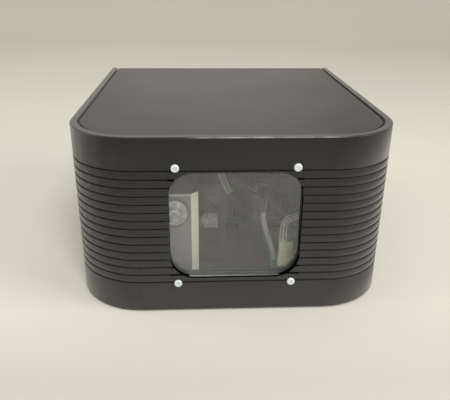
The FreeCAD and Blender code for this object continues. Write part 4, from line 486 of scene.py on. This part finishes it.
WIRE_RADIUS, MAINS_RADIUS, WIRE_STEP = 0.65 * MM, 1.1 * MM, 2 * MM
COLOURS = {
    "orange": (0.19, 0.11, 0.065),
    "brown": (0.12, 0.075, 0.05),
    "pink": (0.62, 0.4, 0.43),
    "white": (0.66, 0.65, 0.61),
    "pale": (0.5, 0.5, 0.46),
    "dusty": (0.36, 0.37, 0.34),
    "grey": (0.42, 0.42, 0.41),
    "red": (0.5, 0.02, 0.02),
    "black": (0.02, 0.02, 0.02),
    "green": (0.03, 0.3, 0.06),
    "blue": (0.03, 0.08, 0.45),
    "earth": (0.3, 0.45, 0.04),
}
SLEEVE_SHADE_TOP, SUPPLY_SLEEVE_RADIUS = 66 * MM, 1.9 * MM
insulations = {colour: insulation(f"wire_{colour}", tone).material for colour, tone in COLOURS.items()}
sleeved = insulation("wire_sleeved", COLOURS["pale"])
# The motor leads' sleeve is painted black below a height, a painted shade where they run into the dark
# inside of the case.
sleeved.tint(sleeved.band("Z", 0, SLEEVE_SHADE_TOP, MM), COLOURS["black"])
insulations["sleeved"] = sleeved.material


def behind(*points):
    """Points given in millimetres as across, behind the front face and up."""
    return [Vector((x * MM, FRONT + back * MM, z * MM)) for x, back, z in points]


def leads(name, radius, runs):
    """One piece with a smooth tube for each run, a list of points and a colour."""
    curve = bpy.data.curves.new(name, "CURVE")
    curve.dimensions = "3D"
    curve.bevel_depth = radius
    curve.bevel_resolution = 3
    curve.use_fill_caps = True
    used = sorted({colour for _, colour in runs})
    for colour in used:
        curve.materials.append(insulations[colour])
    for points, colour in runs:
        spline = curve.splines.new("NURBS")
        spline.points.add(len(points) - 1)
        for point, place in zip(spline.points, points):
            point.co = (*place, 1)
        spline.order_u = 3
        spline.use_endpoint_u = True
        spline.resolution_u = 8
        spline.material_index = used.index(colour)
    piece = bpy.data.objects.new(name, curve)
    bpy.context.scene.collection.objects.link(piece)
    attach(piece, "case")
    return piece


def side_by_side(points, colours, first=(1, 0, 0), between=None, last=None):
    """A run for each colour, a step apart across the two points at each end and between."""
    across = [first] * 2 + [between or first] * (len(points) - 4) + [last or first] * 2
    middle = (len(colours) - 1) / 2
    runs = []
    for number, colour in enumerate(colours):
        shift = WIRE_STEP * (number - middle)
        runs.append(([point + Vector(way) * shift for point, way in zip(points, across)], colour))
    return runs


def signal_leads():
    """Leads from the scanner driver board, the two scanner motors and the three lasers."""
    signal = behind((33, 25, 35.6), (33, 25, 44.6), (34.5, 26, 51), (45, 27, 53.5), (62, 42, 57),
                    (66, 75, 62), (58, 120, 64), (44, 160, 66), (29.5, 188, 70.7), (29.5, 198, 70.7))
    supply = behind((28, 31, 18.6), (28, 31, 24), (23.5, 31, 36), (20, 31, 48), (20.8, 32, 59),
                    (23.5, 33, 70), (29, 40, 77), (27, 62, 90), (21, 100, 96), (24, 145, 93),
                    (22.5, 172, 85.7), (24.5, 188, 70.7), (24.5, 198, 70.7))
    x_motor = behind((37.8, 25, 35.6), (37.8, 25, 44.6), (34, 36, 52), (20, 52, 58), (4, 68, 62),
                     (-12.5, 73, 62), (-12.5, 63, 62))
    y_motor = behind((-47, 30, 49), (-53.5, 30, 49), (-53.5, 38, 60), (-53, 42, 75), (-42, 41, 87),
                     (-20, 36, 91), (-10.5, 34, 87), (-7.4, 34, 79.5), (-1.3, 34, 64.9), (13.5, 40, 43),
                     (27.5, 37, 44.3), (46.3, 37, 47.7), (53, 31, 49), (55, 25, 44.6), (55, 25, 35.6))
    upright, slanted, skewed = (0, 0, 1), (0.6, 0, -0.8), (0.71, 0.71, 0)
    runs = side_by_side(signal, ("grey", "white", "pink"), between=slanted)
    runs += side_by_side(supply, ("brown", "orange"))
    runs += side_by_side(x_motor, ("black", "black"), between=upright, last=upright)
    runs += side_by_side(y_motor, ("sleeved", "sleeved", "sleeved"), (0, 1, 0), skewed, skewed)
    for back, colour in ((87, "red"), (119, "green")):
        runs.append((behind((-17, back, 62), (-12.5, back, 62), (-9.5, back, 62), (-9.5, back, 57),
                            (-9.5, back, 21.6)), colour))
    runs.append((behind((-49, 143, 62), (-41, 143, 62), (-26, 143, 62.5), (-14, 143, 58), (-9.5, 143, 30.6),
                        (-9.5, 143, 21.6)), "blue"))
    piece = leads("signal_leads", WIRE_RADIUS, runs)
    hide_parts("signal_wires")


def supply_sleeve():
    """A dusty sleeve over the supply leads, from their pads to the bend."""
    run = behind((28, 31, 19), (28, 31, 24), (23.5, 31, 36), (20, 31, 48), (20.4, 31.5, 53.5))
    leads("supply_sleeve", SUPPLY_SLEEVE_RADIUS, [(run, "dusty")])


def mains_leads():
    """Leads between the inlet, the rocker and the supply."""
    runs = [
        (behind((68.25, 195, 21.4), (68.25, 190, 21.4), (67.5, 181, 18.3), (67.5, 176, 18.3)), "blue"),
        (behind((61.25, 195, 26.4), (61.25, 189, 26.4), (61.5, 181, 18.3), (61.5, 176, 18.3)), "earth"),
        (behind((54.25, 195, 21.4), (54.25, 189, 21.4), (54.55, 184, 28.9), (56.25, 187, 40.4),
                (58, 198, 50), (58, 208, 50)), "brown"),
        (behind((64.5, 208, 56.5), (64.5, 198, 56.5), (62.5, 187, 51.5), (57.5, 176, 42.5),
                (55.5, 170, 34.8), (55.5, 170, 24.8)), "brown"),
    ]
    piece = leads("mains_leads", MAINS_RADIUS, runs)
    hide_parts("mains_wires")


# Small parts on the scanner driver board, which the window shows

CHIP_SIZE, TRIMMER_SIZE = (5 * MM, 4 * MM, 1.6 * MM), (6 * MM, 5 * MM, 5 * MM)
LEG_SIZE, LEG_STEP, LEG_REACH = (0.45 * MM, 1.2 * MM, 0.5 * MM), 1.27 * MM, 2.6 * MM
RESISTOR_SIZE, RESISTORS_IN_ROW = (1.1 * MM, 0.9 * MM, 0.6 * MM), 13
CAP_SIZE, CAP_REACH = (0.5 * MM, 0.92 * MM, 0.62 * MM), 0.8 * MM
SIDES = (-1, 1)


def driver_board_parts():
    """Four chips on legs, a row of resistors along two edges, and two trimmers."""
    low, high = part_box("scanner_driver_board")
    top = high.z
    chance = random.Random(5)
    chips, resistors, ends = [], [], []
    for across, back in ((20, 21), (31, 21), (20, 35), (31, 35)):
        x, y = low.x + across * MM, low.y + back * MM
        chips.append(((x, y, top + CHIP_SIZE[2] / 2), CHIP_SIZE))
        for side in SIDES:
            for leg in range(4):
                spot = (x + (leg - 1.5) * LEG_STEP, y + side * LEG_REACH, top + LEG_SIZE[2] / 2)
                ends.append((spot, LEG_SIZE))
    middle = top + RESISTOR_SIZE[2] / 2
    for back in (1.2, 46.5):
        for number in range(RESISTORS_IN_ROW):
            x = low.x + (4 + 3.2 * number + 0.5 * chance.random()) * MM
            y = low.y + back * MM
            resistors.append(((x, y, middle), RESISTOR_SIZE))
            ends += [((x + side * CAP_REACH, y, middle), CAP_SIZE) for side in SIDES]
    trimmers = [((low.x + across * MM, low.y + 12 * MM, top + TRIMMER_SIZE[2] / 2), TRIMMER_SIZE)
                for across in (19, 27)]
    blocks("driver_chips", chips + resistors, "board_parts", 0.08 * MM)
    blocks("driver_solder", ends, "cage_steel", 0.06 * MM)
    blocks("driver_trimmers", trimmers, "cream_nylon", 0.3 * MM,
           moulded("trimmer_blue", (0.03, 0.12, 0.42), 0.4).material)


# Marks and segments at the rear

# A digit's bars: places in half widths and half heights, and whether they lie level
SEGMENTS = ((0, 1, True), (0, 0, True), (0, -1, True), (-1, 0.5, False), (1, 0.5, False), (-1, -0.5, False),
            (1, -0.5, False))


def display_digits():
    """Four unlit seven-segment digits on the display's face."""
    low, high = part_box("display_module")
    middle_x, middle_z = (low.x + high.x) / 2, (low.z + high.z) / 2
    pitch, wide, tall = 9 * MM, 2.1 * MM, 3.7 * MM
    bar, thin, raised = 0.75 * MM, 0.2 * MM, 0.08 * MM
    gap = bar * 1.6
    items = []
    for digit in range(4):
        x = middle_x + (digit - 1.5) * pitch
        for across, up, level in SEGMENTS:
            size = (wide * 2 - gap, thin, bar) if level else (bar, thin, tall - gap)
            items.append(((x + across * wide, high.y + raised, middle_z + up * tall), size))
    unlit = moulded("display_segments", (0.5, 0.46, 0.44), 0.5).material
    blocks("display_digits", items, "display_face", 0.05 * MM, unlit)


def ring_faces(paths, count):
    """Faces between closed paths of as many points each, round from the first path back to it."""
    faces = []
    for step in range(count):
        after = (step + 1) % count
        for one, other in zip(paths, paths[1:] + paths[:1]):
            first, second = one * count, other * count
            faces.append((first + step, first + after, second + after, second + step))
    return faces


def rocker_marks():
    """The bar and the ring that mark on and off, set in the rocker's dished face."""
    low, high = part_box("rocker")
    frame_low, frame_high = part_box("rocker_frame")
    pivot_depth, rest_tilt = 0.6 * MM, math.radians(10)
    pivot = Vector(((low.x + high.x) / 2, frame_high.y - pivot_depth, (frame_low.z + frame_high.z) / 2))
    tilt = Matrix.Rotation(rest_tilt, 3, "X")
    dish_centre, dish_radius, reach = 33 * MM, 30 * MM, 4.6 * MM
    half_width, half_height, radii = 0.4 * MM, 1.7 * MM, (1.2 * MM, 1.8 * MM)
    sunk, raised = -0.1 * MM, 0.06 * MM
    paint = moulded("rocker_mark_white", (0.8, 0.8, 0.78), 0.5).material

    def on_face(x, z, lift):
        depth = dish_centre - math.sqrt(dish_radius ** 2 - z ** 2)
        return tuple(pivot + tilt @ Vector((x, depth + lift, z)))

    bar = [on_face(x * half_width, reach + z * half_height, lift)
           for lift in (sunk, raised) for x, z in ((-1, -1), (1, -1), (1, 1), (-1, 1))]
    mesh_piece("rocker_mark_on", bar, [(4, 5, 6, 7), (0, 3, 2, 1), (0, 1, 5, 4), (1, 2, 6, 5), (2, 3, 7, 6),
                                       (3, 0, 4, 7)], "rocker_plastic", "power_switch", paint)
    count = 32
    turns = [2 * math.pi * step / count for step in range(count)]
    ring = [on_face(radius * math.cos(turn), -reach + radius * math.sin(turn), lift)
            for lift in (sunk, raised) for radius in radii for turn in turns]
    inner_low, outer_low, inner_high, outer_high = range(4)
    mesh_piece("rocker_mark_off", ring, ring_faces([inner_high, outer_high, outer_low, inner_low], count),
               "rocker_plastic", "power_switch", paint)


signal_leads()
supply_sleeve()
mains_leads()
driver_board_parts()
display_digits()
rocker_marks()


# Studio

FLOOR_RADIUS, COVE, WALL = 1.25, 0.5, 1.6


def studio_floor():
    """A pale floor that curves up into a round backdrop, with a painted shade on the floor in front of the
    part.
    """
    count, cove_steps = 96, 12
    profile = [(0.02, 0), (0.3, 0), (0.7, 0), (FLOOR_RADIUS, 0)]
    for step in range(1, cove_steps + 1):
        angle = math.pi / 2 * step / cove_steps
        profile.append((FLOOR_RADIUS + COVE * math.sin(angle), COVE * (1 - math.cos(angle))))
    profile.append((FLOOR_RADIUS + COVE, WALL))
    turns = [2 * math.pi * turn / count for turn in range(count)]
    points = [(radius * math.cos(turn), radius * math.sin(turn), z)
              for radius, z in profile for turn in turns]
    faces = [tuple(range(count))]
    for ring in range(len(profile) - 1):
        for turn in range(count):
            after = (turn + 1) % count
            faces.append((ring * count + turn, (ring + 1) * count + turn, (ring + 1) * count + after,
                          ring * count + after))
    mesh = bpy.data.meshes.new("studio_floor")
    mesh.from_pydata(points, [], faces)
    mesh.shade_smooth()
    floor = bpy.data.objects.new("studio_floor", mesh)
    bpy.context.scene.collection.objects.link(floor)
    finish = Finish("studio_paper", (0.74, 0.705, 0.62), 0.95, Specular_IOR_Level=0.1)
    finish.vary(0.5, (0.7, 0.675, 0.6), 0.6, 2)
    # Painted shade: the floor is darker in front of the part.
    front_shade = finish.spread(finish.along(finish.point, "Y"), 1, 0, -0.19, -0.12)
    finish.tint(front_shade, (0.59, 0.565, 0.5))
    mesh.materials.append(finish.material)


def area_light(name, place, aim, size, power, spread=180):
    """A round softbox; a spread under 180 degrees is a grid that keeps its light near the aim."""
    lamp = bpy.data.lights.new(name, "AREA")
    lamp.shape = "DISK"
    lamp.size = size
    lamp.energy = power
    lamp.spread = math.radians(spread)
    light = bpy.data.objects.new(name, lamp)
    light.location = place
    light.rotation_euler = (Vector(aim) - Vector(place)).to_track_quat("-Z", "Y").to_euler()
    bpy.context.scene.collection.objects.link(light)


def studio_light():
    """An even sky, a light overhead and softboxes on four sides."""
    world = bpy.data.worlds.new("studio")
    bpy.context.scene.world = world
    world.use_nodes = True
    sky = world.node_tree.nodes["Background"]
    sky.inputs["Color"].default_value = (0.96, 0.98, 1, 1)
    sky.inputs["Strength"].default_value = 0.66
    area_light("overhead", (0, 0, 1.4), (0, 0, 0.05), size=1.2, power=1.2)
    area_light("rear_softbox", (0, 1.3, 0.75), (0, 0, 0.1), size=1.0, power=0.6)
    area_light("key_softbox", (0.25, -1.0, 0.95), (0, -0.12, 0.05), size=0.4, power=0.65, spread=50)
    area_light("left_softbox", (-1.2, 0, 0.8), (-0.15, 0, 0), size=0.9, power=5)
    area_light("right_softbox", (1.1, -0.5, 0.7), (0.15, 0, 0), size=0.9, power=9)


def photo_camera():
    """The camera at the photograph's place, from its measured yaw, pitch and roll in radians."""
    place, yaw, pitch, roll = (-0.02154, -0.41084, 0.2003), 0.0525, 0.4082, 0.0092
    data = bpy.data.cameras.new("photo_camera")
    data.sensor_width = 36
    data.lens = 43.08
    data.clip_start = 0.01
    camera = bpy.data.objects.new("photo_camera", data)
    forward = Vector((math.sin(yaw) * math.cos(pitch), math.cos(yaw) * math.cos(pitch), -math.sin(pitch)))
    right = Vector((math.cos(yaw), -math.sin(yaw), 0))
    up = right.cross(forward)
    turn = Matrix((right, up, -forward)).transposed() @ Matrix.Rotation(roll, 3, "Z")
    camera.matrix_world = Matrix.Translation(place) @ turn.to_4x4()
    bpy.context.scene.collection.objects.link(camera)
    bpy.context.scene.camera = camera


studio_floor()
studio_light()
photo_camera()
bpy.context.scene.view_settings.view_transform = "Standard"
